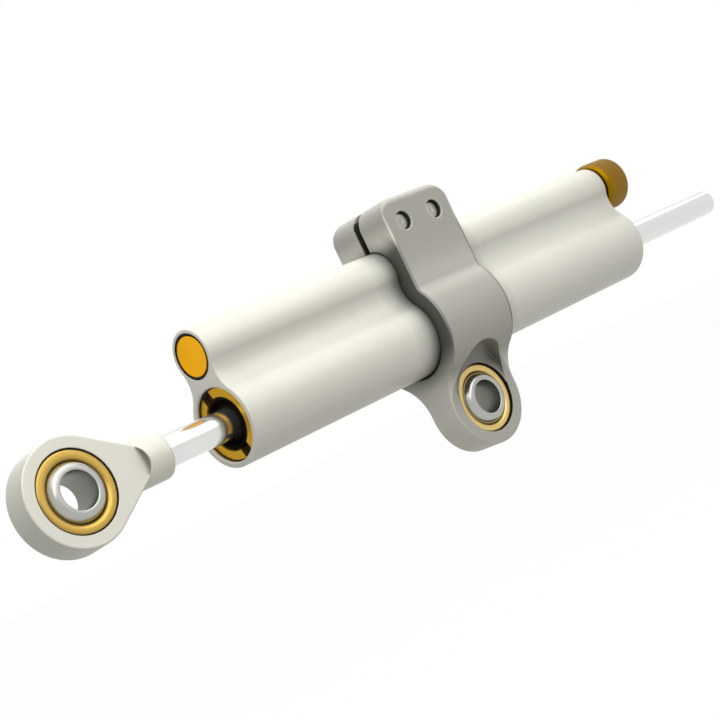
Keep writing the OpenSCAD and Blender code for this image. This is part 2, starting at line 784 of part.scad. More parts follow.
module separator_ring() {
  color(rubber) into_front(tube_z) o_ring(separator_ring_r, small_ring_d, separator_ring_s);
}
module separator_spring() {
  color(steel) into_front(tube_z) translate([0, 0, spring_s])
    coil((spring_od - spring_wire) / 2, spring_wire, separator_spring_len, spring_turns);
}

// Adjuster, measured inwards from the rear end face: the knob turns the spindle, whose screw
// draws the needle, and the needle's square head keeps it from turning
housing_r = end_seat_r - run_gap;
pocket_to = housing_len - needle_bearing;
needle_stroke = adjuster_pitch * adjuster_turns;
pocket_from = spindle_bearing + collar_len + end_gap;
head_from = pocket_from + needle_stroke + 3 * end_gap;
cone_len = needle_d / 2;
cone_slope = (needle_d - needle_tip_d) / 2 / cone_len;
cone_depth = (orifice_d / 2 - 1.5 * run_gap - needle_tip_d / 2) / cone_slope;
needle_shut = valve_seat_depth + orifice_chamfer + cone_depth;
needle_tip_s = needle_shut - needle_stroke;
screw_r = spindle_screw_d / 2;
screw_to = head_from + needle_head_len + needle_stroke;
spindle_r = spindle_d / 2;
collar_r = spindle_r + collar_rim;
housing_ring_r = end_seat_r - small_ring_d / 2 - seat_gap;
housing_ring_s = housing_len / 2;
spindle_ring_r = spindle_r + small_ring_d / 2 + seat_gap;
spindle_ring_s = spindle_bearing / 2;
needle_ring_s = pocket_to + needle_bearing / 2;
needle_ring_r = needle_d / 2 + small_ring_d / 2 + seat_gap;
detent_a = detent_d / 2;
knob_from = -knob_gap;
knob_to = -knob_gap - knob_len;
knob_screw_r = knob_screw_d / 2;
knob_screw_head_r = knob_screw_head_d / 2;
module inner_groove(mid, s) {
  half = small_ring_d / 2 + run_gap;
  translate([0, 0, s]) ring(mid + small_ring_d / 2 + seat_gap, mid - small_ring_d, -half, half);
}
module adjuster_housing() {
  pocket_w = needle_head_w + 2 * run_gap;
  color(brass) into_rear(tube_z) difference() {
    cylinder(r = housing_r, h = housing_len);
    translate([0, 0, -1]) cylinder(r = spindle_r + run_gap, h = spindle_bearing + 2);
    translate([0, 0, spindle_bearing]) cylinder(r = collar_r + run_gap, h = collar_len + end_gap);
    translate([-pocket_w / 2, -pocket_w / 2, pocket_from])
      cube([pocket_w, pocket_w, pocket_to - pocket_from]);
    cylinder(r = needle_d / 2 + run_gap, h = housing_len + 1);
    ring_groove(housing_r, housing_ring_r, housing_ring_s);
    inner_groove(spindle_ring_r, spindle_ring_s);
    inner_groove(needle_ring_r, needle_ring_s);
    translate([detent_r, 0, -1]) cylinder(r = detent_a + seat_gap, h = detent_depth + 1);
  }
}
module housing_ring() {
  color(rubber) into_rear(tube_z) o_ring(housing_ring_r, small_ring_d, housing_ring_s);
}
module adjuster_spindle() {
  shaft_from = knob_from - spindle_grip;
  color(steel) into_rear(tube_z) difference() {
    union() {
      translate([0, 0, shaft_from]) cylinder(r = spindle_r, h = spindle_bearing - shaft_from + overlap);
      translate([0, 0, spindle_bearing + end_gap / 2]) cylinder(r = collar_r, h = collar_len);
      cylinder(r = screw_r, h = screw_to);
    }
    translate([0, 0, shaft_from - 1]) cylinder(r = knob_screw_r + seat_gap, h = knob_screw_depth + 1);
  }
}
module spindle_ring() {
  color(rubber) into_rear(tube_z) o_ring(spindle_ring_r, small_ring_d, spindle_ring_s);
}
module valve_needle() {
  stem_to = needle_tip_s - cone_len;
  color(steel) into_rear(tube_z) difference() {
    union() {
      translate([-needle_head_w / 2, -needle_head_w / 2, head_from])
        cube([needle_head_w, needle_head_w, needle_head_len]);
      translate([0, 0, head_from]) cylinder(d = needle_d, h = stem_to - head_from);
      translate([0, 0, stem_to]) cylinder(d1 = needle_d, d2 = needle_tip_d, h = cone_len);
    }
    translate([0, 0, head_from - 1])
      cylinder(r = screw_r + run_gap, h = screw_to + needle_stroke + 5 * end_gap - head_from + 1);
  }
}
module needle_ring() {
  color(rubber) into_rear(tube_z) o_ring(needle_ring_r, small_ring_d, needle_ring_s);
}
module valve_seat() {
  color(brass) into_rear(tube_z) difference() {
    ring(bore_r - seat_gap, orifice_d / 2, valve_seat_depth, valve_seat_depth + valve_seat_len);
    translate([0, 0, valve_seat_depth]) mouth(orifice_d / 2, orifice_chamfer);
  }
}
module knurl() {
  n = 2 * knurl_count;
  polygon([
    for (i = [0:n - 1])
      let (r = knob_d / 2 - (i % 2) * knurl_depth, a = 360 * i / n)
        [r * cos(a), r * sin(a)]
  ]);
}
module adjuster_knob() {
  r = knob_d / 2;
  c = knob_chamfer;
  t = knob_taper;
  color(bronze) into_rear(tube_z) difference() {
    intersection() {
      translate([0, 0, knob_to]) linear_extrude(knob_len) knurl();
      translate([0, 0, knob_to]) rotate_extrude()
        polygon([
          [0, 0], [r - c, 0], [r + t, c + t], [r + t, knob_len - 2 * knob_taper_len], [r - t, knob_len],
          [0, knob_len]
        ]);
    }
    translate([0, 0, knob_from - spindle_grip - end_gap])
      cylinder(r = spindle_r + seat_gap, h = spindle_grip + 1);
    translate([0, 0, knob_to - 1]) {
      cylinder(r = knob_screw_r + run_gap, h = knob_len);
      cylinder(r = knob_screw_head_r + run_gap, h = knob_screw_sink + 1);
    }
    rotate_extrude() translate([detent_r, 0]) circle(r = detent_a + run_gap);
  }
}
module knob_screw() {
  seat_s = knob_to + knob_screw_sink;
  head_s = seat_s - knob_screw_head_h;
  end_s = knob_from - spindle_grip + knob_screw_depth - 2 * end_gap;
  color(steel) into_rear(tube_z) difference() {
    union() {
      translate([0, 0, head_s]) cylinder(r = knob_screw_head_r, h = knob_screw_head_h);
      translate([0, 0, head_s]) cylinder(r = knob_screw_r, h = end_s - head_s);
    }
    translate([0, 0, head_s - 1])
      cylinder(d = knob_screw_hex / cos(30), h = knob_screw_hex_depth + 1, $fn = 6);
  }
}
module detent_ball() {
  color(steel) into_rear(tube_z) translate([detent_r, 0, 0]) sphere(r = detent_a);
}
module detent_spring() {
  color(steel) into_rear(tube_z) translate([detent_r, 0, detent_a + seat_gap])
    coil(detent_a - detent_wire / 2 - run_gap, detent_wire, detent_depth - detent_a - 2 * seat_gap,
      detent_turns, 6, 12);
}

barrel();
clamp();
clamp_screws();
clamp_race();
clamp_ball();
front_seal_head();
front_head_ring();
front_rod_bush();
front_rod_seal();
front_wiper();
rear_seal_head();
rear_head_ring();
rear_rod_bush();
rear_rod_seal();
rear_wiper();
rod();
piston();
piston_inner_ring();
piston_band();
piston_clips();
rod_end();
rod_end_race();
rod_end_ball();
reservoir_plug();
plug_ring();
plug_snap_ring();
separator();
separator_ring();
separator_spring();
valve_seat();
valve_needle();
needle_ring();
adjuster_housing();
housing_ring();
adjuster_spindle();
spindle_ring();
adjuster_knob();
knob_screw();
detent_ball();
detent_spring();
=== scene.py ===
"""A motorcycle steering damper: detailed pieces, materials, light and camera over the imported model.

Lengths are in millimetres until put() turns them into metres. The frame is the part's own: the
origin is the middle of the clamp's ball joint, +X runs to the knob, -Y is the front and +Z is up.
"""

import json
import math

import bmesh
import bpy
import numpy as np
from mathutils import Matrix, Vector
from mathutils.geometry import tessellate_polygon


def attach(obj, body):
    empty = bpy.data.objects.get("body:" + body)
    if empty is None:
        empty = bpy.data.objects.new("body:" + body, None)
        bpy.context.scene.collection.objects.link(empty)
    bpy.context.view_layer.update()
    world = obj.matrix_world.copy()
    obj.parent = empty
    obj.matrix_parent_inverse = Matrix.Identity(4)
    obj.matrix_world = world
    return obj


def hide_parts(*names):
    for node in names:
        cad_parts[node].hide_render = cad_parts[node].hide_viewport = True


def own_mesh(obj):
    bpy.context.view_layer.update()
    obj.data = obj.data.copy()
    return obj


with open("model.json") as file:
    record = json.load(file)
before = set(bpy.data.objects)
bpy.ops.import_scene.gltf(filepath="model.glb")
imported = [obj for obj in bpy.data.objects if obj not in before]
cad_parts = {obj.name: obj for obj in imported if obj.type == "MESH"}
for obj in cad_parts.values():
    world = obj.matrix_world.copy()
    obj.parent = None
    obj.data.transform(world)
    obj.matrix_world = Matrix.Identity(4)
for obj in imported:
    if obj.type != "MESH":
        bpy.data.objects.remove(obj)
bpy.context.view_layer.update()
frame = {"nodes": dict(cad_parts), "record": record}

MM = 0.001

# Sizes as in the part's source
FRONT_X, REAR_X = -83.4, 86.6
MAIN_Z, TUBE_Z, EYE_X = 23.5, 42.2, -131.7
SPACING = TUBE_Z - MAIN_Z
MAIN_R, TUBE_R, WEB_R = 11.25, 7.1, 8.0
EYE_ROLL = math.radians(-5)
ROD_R = 4.0
BALL_R, BALL_HALF, BALL_BORE_R = 8.33, 5.5, 4.7625

web_d1 = MAIN_R + WEB_R
web_d2 = TUBE_R + WEB_R
WEB_Z = (web_d1**2 - web_d2**2 + SPACING**2) / (2 * SPACING)
WEB_Y = math.sqrt(web_d1**2 - WEB_Z**2)


# Placing

def moved(x, y, z):
    return Matrix.Translation((x, y, z))


INTO_FRONT = moved(FRONT_X, 0, MAIN_Z)
INTO_FRONT_TUBE = moved(FRONT_X, 0, TUBE_Z)
INTO_REAR = moved(REAR_X, 0, MAIN_Z) @ Matrix.Rotation(math.pi, 4, "Z")
INTO_REAR_TUBE = moved(REAR_X, 0, TUBE_Z) @ Matrix.Rotation(math.pi, 4, "Z")
FACE_FRONT = Matrix.Rotation(-math.pi / 2, 4, "Z")
AT_EYE = moved(EYE_X, 0, MAIN_Z) @ Matrix.Rotation(EYE_ROLL, 4, "X")


def place(points, matrix):
    m = np.array(matrix)
    return np.asarray(points, float) @ m[:3, :3].T + m[:3, 3]


# Meshes

def put(name, verts, faces, material, body=None, replaces=(), slot=None, sharp=32, clean=True):
    """Makes a piece of the model from points in millimetres and puts it on its body, if it has one."""
    mesh = bpy.data.meshes.new(name)
    mesh.from_pydata((np.asarray(verts, float) * MM).tolist(), [], faces)
    if clean:
        bm = bmesh.new()
        bm.from_mesh(mesh)
        bmesh.ops.remove_doubles(bm, verts=bm.verts, dist=1e-7)
        bmesh.ops.recalc_face_normals(bm, faces=bm.faces)
        bm.to_mesh(mesh)
        bm.free()
    mesh.shade_smooth()
    if sharp:
        mesh.set_sharp_from_angle(angle=math.radians(sharp))
    mesh.materials.append(material)
    obj = bpy.data.objects.new(name, mesh)
    bpy.context.scene.collection.objects.link(obj)
    if body:
        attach(obj, body)
    if replaces:
        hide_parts(*replaces)
    return obj


def circle(x, r, n, z=0):
    """Points around a line along X, which is at height z."""
    angles = [2 * math.pi * k / n for k in range(n)]
    return [(x, r * math.cos(a), z + r * math.sin(a)) for a in angles]


def lofted(loops, closed=False):
    """Faces between rings of the same number of points."""
    n = len(loops[0])
    verts = [p for loop in loops for p in loop]
    faces = []
    rows = len(loops) if closed else len(loops) - 1
    for i in range(rows):
        a, b = i * n, (i + 1) % len(loops) * n
        for k in range(n):
            m = (k + 1) % n
            faces.append((a + k, a + m, b + m, b + k))
    return verts, faces


def turned(profile, n=144, closed=True):
    """A profile of (along, radius) points turned about X."""
    return lofted([circle(s, r, n) for s, r in profile], closed)


def eased(points, steps=5):
    """A closed outline of (along, radius, easing) corners, each rounded by its easing."""
    most = 0.49
    out = []
    for i, (x, y, r) in enumerate(points):
        if r <= 0:
            out.append((x, y))
            continue
        p = np.array([x, y])
        a = np.array(points[i - 1][:2]) - p
        b = np.array(points[(i + 1) % len(points)][:2]) - p
        la, lb = np.linalg.norm(a), np.linalg.norm(b)
        a, b = a / la, b / lb
        half = math.acos(max(-1, min(1, float(a @ b)))) / 2
        d = min(r / math.tan(half), most * la, most * lb)
        for t in (k / steps for k in range(steps + 1)):
            q = p + a * d * (1 - t) ** 2 + b * d * t**2
            out.append((float(q[0]), float(q[1])))
    return out


def joined(parts):
    """Several (verts, faces) as one."""
    verts, faces = [], []
    for v, f in parts:
        shift = len(verts)
        verts.extend(map(tuple, v))
        faces.extend(tuple(i + shift for i in face) for face in f)
    return verts, faces


def prism(outline, low, high):
    """A solid with an outline in (y, z) between two places along X."""
    verts, faces = lofted([[(x, y, z) for y, z in outline] for x in (low, high)])
    n = len(outline)
    return verts, faces + [tuple(range(n)), tuple(range(2 * n - 1, n - 1, -1))]


def paint(obj, material, chosen):
    """Gives another material to the faces whose middle, in millimetres, is chosen."""
    obj.data.materials.append(material)
    index = len(obj.data.materials) - 1
    for polygon in obj.data.polygons:
        if chosen(polygon.center / MM):
            polygon.material_index = index


def cut(obj, verts, faces, sharp=32):
    """Takes a solid away from a piece."""
    tool = put("cutter", verts, faces, obj.data.materials[0], sharp=0)
    modifier = obj.modifiers.new("cut", "BOOLEAN")
    modifier.operation, modifier.solver, modifier.object = "DIFFERENCE", "EXACT", tool
    mesh = bpy.data.meshes.new_from_object(obj.evaluated_get(bpy.context.evaluated_depsgraph_get()))
    obj.modifiers.clear()
    obj.data = mesh
    mesh.shade_smooth()
    mesh.set_sharp_from_angle(angle=math.radians(sharp))
    bpy.data.objects.remove(tool)


# Solids from distance fields: negative inside, in millimetres

def round_max(a, b, r):
    """Both at once, with the edge between them rounded."""
    return np.minimum(np.maximum(a, b), -r) + np.hypot(np.maximum(a + r, 0), np.maximum(b + r, 0))


def surface(field, low, step):
    """The zero surface of a sampled field as quads, one point in each cell that it crosses."""
    inside = field < 0
    nx, ny, nz = (n - 1 for n in field.shape)
    count = np.zeros((nx, ny, nz), np.int8)
    for i in (0, 1):
        for j in (0, 1):
            for k in (0, 1):
                count += inside[i:nx + i, j:ny + j, k:nz + k]
    crossed = (count > 0) & (count < 8)
    cells = np.argwhere(crossed)
    index = np.full(crossed.shape, -1)
    index[crossed] = np.arange(len(cells))
    total = np.zeros((len(cells), 3))
    hits = np.zeros(len(cells))
    for axis in range(3):
        unit = np.eye(3, dtype=int)[axis]
        for u in (0, 1):
            for v in (0, 1):
                corner = np.insert([u, v], axis, 0)
                p = cells + corner
                a = field[tuple(p.T)]
                b = field[tuple((p + unit).T)]
                on = (a < 0) != (b < 0)
                t = a[on] / (a[on] - b[on])
                total[on] += corner + t[:, None] * unit
                hits[on] += 1
    verts = low + step * (cells + total / hits[:, None])
    faces = []
    for axis in range(3):
        unit = np.eye(3, dtype=int)[axis]
        first, second = (a for a in range(3) if a != axis)
        one, two = np.eye(3, dtype=int)[first], np.eye(3, dtype=int)[second]
        grid = [slice(1, -1)] * 3
        grid[axis] = slice(0, -1)
        start = inside[tuple(grid)]
        grid[axis] = slice(1, None)
        end = inside[tuple(grid)]
        edge = np.argwhere(start != end) + 1 - unit
        leaves = inside[tuple(edge.T)]
        quad = np.stack([index[tuple((edge - o).T)] for o in (one * 0, one, one + two, two)], axis=1)
        flip = leaves if axis == 1 else ~leaves
        quad[flip] = quad[flip][:, ::-1]
        faces.append(quad)
    return verts, np.concatenate(faces)


def settled(verts, field_at, rounds=3):
    """Points moved onto the field's zero surface, and the directions away from it."""
    h, longest_move = 0.02, 0.15
    p = verts.copy()
    for _ in range(rounds):
        d = field_at(*p.T)
        g = np.stack([
            field_at(*(p + h * e).T) - field_at(*(p - h * e).T) for e in np.eye(3)
        ], axis=1) / (2 * h)
        g /= np.maximum(np.linalg.norm(g, axis=1, keepdims=True), 1e-6)
        p -= np.clip(d, -longest_move, longest_move)[:, None] * g
    return p, g


def carved(name, field_at, low, high, step, matrix, material, body, replaces, slot):
    """A piece from a distance field over a box, and its points before it was placed."""
    axes = [np.arange(a, b + step, step) for a, b in zip(low, high)]
    x, y, z = np.meshgrid(*axes, indexing="ij", sparse=True)
    field = field_at(x, y, z)
    verts, quads = surface(field, np.array(low), step)
    verts, normals = settled(verts, field_at)
    obj = put(name, place(verts, matrix), quads.tolist(), material, body, replaces, slot,
              sharp=0, clean=False)
    turn = np.array(matrix)[:3, :3]
    obj.data.normals_split_custom_set_from_vertices((normals @ turn.T).tolist())
    return obj, verts


def smooth(a, b, x):
    """From 0 at a to 1 at b, with soft ends."""
    t = np.clip((x - a) / (b - a), 0, 1)
    return t * t * (3 - 2 * t)


def paint_light_by_place(obj, matrix, amount):
    """How much painted shade (1) or painted highlight (-1) a piece carries, by place in millimetres."""
    points = np.empty(len(obj.data.vertices) * 3)
    obj.data.vertices.foreach_get("co", points)
    x, y, z = place(points.reshape(-1, 3) / MM, matrix.inverted()).T
    attribute = obj.data.attributes.new("painted_light", "FLOAT", "POINT")
    attribute.data.foreach_set("value", amount(x, y, z).astype(np.float32))


# Materials

def nodes_of(name):
    material = bpy.data.materials.new(name)
    material.use_nodes = True
    tree = material.node_tree
    return material, tree, tree.nodes["Principled BSDF"]


def add(tree, kind, **values):
    """A node with its inputs or its own settings given by name."""
    node = tree.nodes.new(kind)
    for key, value in values.items():
        if key in node.inputs:
            node.inputs[key].default_value = value
        else:
            setattr(node, key, value)
    return node


def ramp(tree, source, from_range, to_range, **settings):
    """Maps one range of a value onto another."""
    node = add(tree, "ShaderNodeMapRange", **settings)
    for side, (low, high) in (("From", from_range), ("To", to_range)):
        node.inputs[f"{side} Min"].default_value = low
        node.inputs[f"{side} Max"].default_value = high
    tree.links.new(source, node.inputs["Value"])
    return node.outputs["Result"]


def darkened(tree, colour, share):
    """A colour times a share."""
    node = add(tree, "ShaderNodeMixRGB", blend_type="MULTIPLY")
    node.inputs["Fac"].default_value = 1.0
    tree.links.new(colour, node.inputs["Color1"])
    tree.links.new(share, node.inputs["Color2"])
    return node.outputs["Color"]


def finish(name, colour, rough, metallic=1.0, grain=0.25, bump=0.004, spread=0.04, rough_spread=0.05,
           bevel=0.12, stretch=(1, 1, 1), corner_shade=None, painted_light=0.0, gloss=0.5):
    """A surface whose colour, roughness and relief vary at its grain's size in millimetres.

    A corner setting paints shade into deep corners: how dark a deep corner gets and how far that reaches. A
    share says how much the painted shade and highlights laid on by place count.
    """
    material, tree, shader = nodes_of(name)
    link = tree.links.new
    place_at = add(tree, "ShaderNodeTexCoord")
    mapping = add(tree, "ShaderNodeMapping")
    mapping.inputs["Scale"].default_value = [s / (grain * MM) for s in stretch]
    link(place_at.outputs["Object"], mapping.inputs["Vector"])
    fine = add(tree, "ShaderNodeTexNoise", Scale=1.0, Detail=3.0, Roughness=0.6)
    link(mapping.outputs["Vector"], fine.inputs["Vector"])
    broad = add(tree, "ShaderNodeTexNoise", Scale=90.0, Detail=4.0, Roughness=0.55)
    link(place_at.outputs["Object"], broad.inputs["Vector"])
    mix = add(tree, "ShaderNodeMixRGB", blend_type="MIX")
    mix.inputs["Color1"].default_value = [c * (1 - spread) for c in colour] + [1]
    mix.inputs["Color2"].default_value = [min(1, c * (1 + spread)) for c in colour] + [1]
    link(broad.outputs["Fac"], mix.inputs["Fac"])
    tone = mix.outputs["Color"]
    # Painted shade: ambient occlusion darkens the colour in deep corners.
    if corner_shade:
        low, reach = corner_shade
        room = add(tree, "ShaderNodeAmbientOcclusion", samples=6)
        room.inputs["Distance"].default_value = reach * MM
        tone = darkened(tree, tone, ramp(tree, room.outputs["AO"], (0.5, 1), (low, 1)))
    # Painted shade and painted highlights, laid on by place, darken or lighten the colour.
    if painted_light:
        amount = add(tree, "ShaderNodeAttribute", attribute_name="painted_light")
        tone = darkened(tree, tone, ramp(tree, amount.outputs["Fac"], (0, 1), (1, 1 - painted_light), clamp=False))
    link(tone, shader.inputs["Base Color"])
    levels = (max(0.02, rough - rough_spread), rough + rough_spread)
    link(ramp(tree, fine.outputs["Fac"], (0, 1), levels), shader.inputs["Roughness"])
    relief = add(tree, "ShaderNodeBump", Strength=0.6, Distance=bump * MM)
    link(fine.outputs["Fac"], relief.inputs["Height"])
    if bevel:
        edge = add(tree, "ShaderNodeBevel", samples=6)
        edge.inputs["Radius"].default_value = bevel * MM
        link(edge.outputs["Normal"], relief.inputs["Normal"])
    link(relief.outputs["Normal"], shader.inputs["Normal"])
    shader.inputs["Metallic"].default_value = metallic
    shader.inputs["Specular IOR Level"].default_value = gloss
    return material


# Painted shade darkens the corners of the three aluminiums; the eye's and clamp's also carry painted shade and
# highlights laid on by place.
BODY = finish("satin_aluminium", (0.63, 0.62, 0.55), 0.45, metallic=0.2, grain=0.16, bump=0.002, bevel=0.0,
              corner_shade=(0.17, 9))
EYE = finish("eye_aluminium", (0.64, 0.63, 0.555), 0.45, metallic=0.2, grain=0.16, bump=0.002, bevel=0.0,
             corner_shade=(0.3, 8), painted_light=0.9)
CAST = finish("clamp_aluminium", (0.365, 0.357, 0.315), 0.55, metallic=0.2, grain=0.14, bump=0.003, bevel=0.0,
              corner_shade=(0.5, 4), painted_light=0.95)
GOLD = finish("gold_anodised", (0.78, 0.37, 0.001), 0.30, grain=0.3, bump=0.001, spread=0.14)
HEAD = finish("gold_turned", (0.46, 0.26, 0.010), 0.28, grain=0.3, bump=0.001, stretch=(4, 1, 1))
SHADED_GOLD = finish("gold_in_shade", (0.12, 0.07, 0.010), 0.5, metallic=0.5, grain=0.3, bump=0.001, gloss=0.2)
KNOB = finish("knob_gold", (0.24, 0.125, 0.002), 0.40, grain=0.2, bump=0.002)
RACE = finish("race_bronze", (0.56, 0.365, 0.085), 0.24, metallic=0.95, grain=0.3, bump=0.0003,
              rough_spread=0.01, painted_light=0.9)
PALE_RACE = finish("race_bronze_pale", (0.70, 0.52, 0.19), 0.30, metallic=0.8, grain=0.3, bump=0.0003,
                   rough_spread=0.01, painted_light=0.9)
CHROME = finish("rod_chrome", (0.72, 0.72, 0.70), 0.16, metallic=0.95, grain=0.6, bump=0.0004, spread=0.01,
                rough_spread=0.02)
MOUTH = finish("bored_aluminium", (0.60, 0.59, 0.53), 0.4, metallic=0.3, grain=0.16, bump=0.002)
STEEL = finish("ball_steel", (0.42, 0.42, 0.395), 0.24, metallic=1.0, grain=0.5, bump=0.0005, rough_spread=0.03)
GROUND = finish("ground_steel", (0.43, 0.43, 0.40), 0.32, metallic=0.8, grain=0.2, bump=0.002)
# A darker steel for the inside of a bore: painted shade.
SHADED_BORE = finish("bored_steel_shaded", (0.20, 0.20, 0.175), 0.38, grain=0.3, bump=0.002)
SCREW = finish("screw_steel", (0.42, 0.41, 0.37), 0.36, grain=0.5, bump=0.14, spread=0.4)
BRASS = finish("valve_brass", (0.72, 0.54, 0.24), 0.3, grain=0.3, bump=0.001)
INNER = finish("inner_aluminium", (0.66, 0.66, 0.64), 0.32, grain=0.3, bump=0.001)
RUBBER = finish("black_rubber", (0.013, 0.010, 0.006), 0.7, metallic=0.0, grain=0.12, bump=0.004, spread=0.2,
                gloss=0.0)
BLACK = finish("blackened_steel", (0.016, 0.009, 0.004), 0.5, metallic=0.0, grain=0.2, bump=0.002, spread=0.2,
               gloss=0.2)
PLASTIC = finish("ring_plastic", (0.30, 0.22, 0.14), 0.5, metallic=0.0, grain=0.2, bump=0.002, spread=0.1)
# Near-black, for painted shade in grooves and deep walls.
SEAM_SHADE = finish("seam_painted_shade", (0.014, 0.010, 0.006), 0.7, metallic=0.0, grain=0.2, bump=0.002, spread=0.2,
              gloss=0.1)

OF_SLOT = {
    "body_aluminium": BODY, "clamp_aluminium": CAST, "inner_aluminium": INNER, "gold_aluminium": HEAD,
    "knob_aluminium": KNOB, "race_bronze": RACE, "bush_bronze": BRASS, "valve_brass": BRASS,
    "rod_chrome": CHROME, "ball_steel": STEEL, "screw_steel": SCREW, "black_rubber": RUBBER,
    "black_steel": BLACK, "ring_plastic": PLASTIC,
}
for part in frame["record"]["subparts"]:
    own = frame["nodes"][part["node"]].data.materials
    own.clear()
    own.append(OF_SLOT[part["material_slot"]])


# Body

def arc(cy, cz, r, a, b, n):
    """Points (y, z) on an arc, with angles clockwise from up."""
    return [(cy + r * math.sin(t), cz + r * math.cos(t)) for t in np.linspace(a, b, n)]


def body_loop(grow):
    """The outline (y, z) of both tubes and the web between them, moved outwards by grow."""
    a = math.atan2(WEB_Y, WEB_Z)
    b = math.atan2(WEB_Y, WEB_Z - SPACING)
    pi = math.pi
    main = arc(0, 0, MAIN_R + grow, a, 2 * pi - a, 150)
    left = arc(-WEB_Y, WEB_Z, WEB_R - grow, pi - a, pi - b, 18)
    small = arc(0, SPACING, TUBE_R + grow, -b, b, 110)
    right = arc(WEB_Y, WEB_Z, WEB_R - grow, b - pi, a - pi, 18)
    return [(y, z + MAIN_Z) for y, z in main + left[1:] + small[1:] + right[1:-1]]


EDGE, EDGE_STEP = 0.4, 0.12
SEAT_R, BORE_R, CHAMBER = 9.75, 9.0, 25.1
END_SEAT_R, TUBE_BORE_R, SNAP_GROOVE_R = 6.1, 5.0, 6.3
PLUG_SEAT, HOUSING_LEN = 7.0, 16
BRIGHT_TO, SEAM_TO = 0.9, 1.2


def bore(rows, z):
    """The rings of a bore, from (x, radius) rows."""
    return [circle(x, r, 120, z) for x, r in rows]


outer = [[(x, y, z) for y, z in body_loop(grow)] for x, grow in (
    (FRONT_X, -EDGE), (FRONT_X + EDGE_STEP, -EDGE_STEP), (FRONT_X + EDGE, 0),
    (REAR_X - EDGE, 0), (REAR_X - EDGE_STEP, -EDGE_STEP), (REAR_X, -EDGE),
)]
mouth = [
    (0, SEAT_R + 0.3), (0.3, SEAT_R), (BRIGHT_TO, SEAT_R), (SEAM_TO, SEAT_R), (CHAMBER, SEAT_R),
    (CHAMBER, BORE_R),
]
main_bore = bore([(FRONT_X + s, r) for s, r in mouth] + [(REAR_X - s, r) for s, r in reversed(mouth)], MAIN_Z)
tube_bore = bore([
    (FRONT_X, END_SEAT_R + 0.12), (FRONT_X + 0.12, END_SEAT_R), (FRONT_X + 0.2, END_SEAT_R),
    (FRONT_X + 0.2, SNAP_GROOVE_R), (FRONT_X + 1.2, SNAP_GROOVE_R), (FRONT_X + 1.2, END_SEAT_R),
    (FRONT_X + PLUG_SEAT, END_SEAT_R), (FRONT_X + PLUG_SEAT, TUBE_BORE_R),
    (REAR_X - HOUSING_LEN, TUBE_BORE_R), (REAR_X - HOUSING_LEN, END_SEAT_R),
    (REAR_X - 0.25, END_SEAT_R), (REAR_X, END_SEAT_R + 0.25),
], TUBE_Z)


def cap(loops):
    """The flat face between an outline and the holes in it."""
    verts = [p for loop in loops for p in loop]
    return verts, [tuple(t) for t in tessellate_polygon([[Vector(p) for p in loop] for loop in loops])]


barrel = put("barrel_body", *joined([
    lofted(outer), lofted(main_bore), lofted(tube_bore),
    cap([outer[0], main_bore[0], tube_bore[0]]), cap([outer[-1], main_bore[-1], tube_bore[-1]]),
]), BODY, "cylinder", ["barrel"], "body_aluminium", sharp=25)


def in_mouth(low, high):
    """The wall of each mouth of the main bore, between two depths."""
    def chosen(p):
        depth = min(p.x - FRONT_X, REAR_X - p.x)
        return math.hypot(p.y, p.z - MAIN_Z) < SEAT_R + 0.2 and low < depth < high
    return chosen


def in_snap_groove(p):
    return math.hypot(p.y, p.z - TUBE_Z) < SNAP_GROOVE_R + 0.01 and 0.15 < p.x - FRONT_X < 1.3


# The mouth's wall just inside the face keeps a plain bored finish; the deepest part of the wall and the snap
# ring's groove are painted near-black as shade.
paint(barrel, MOUTH, in_mouth(0.05, BRIGHT_TO))
paint(barrel, SEAM_SHADE, in_mouth(BRIGHT_TO, SEAM_TO))
paint(barrel, SEAM_SHADE, in_snap_groove)


# Seal heads and wipers at both ends

HEAD_FACE, HEAD_R, CUP_R, CUP_TO = 1.1, 9.7, 6.8, 5.5
SEAL_R, SEAL_TO, BUSH_R, BUSH_FROM, PASSAGE_R = 6.02, 8.5, 5.02, 12.1, 4.2
RING_FROM, RING_TO, RING_R = 9.2, 10.8, 8.21
SLOT_HALF, SLOT_TO, SLOT_LEAN = 1.8, 3.1, math.radians(-20)


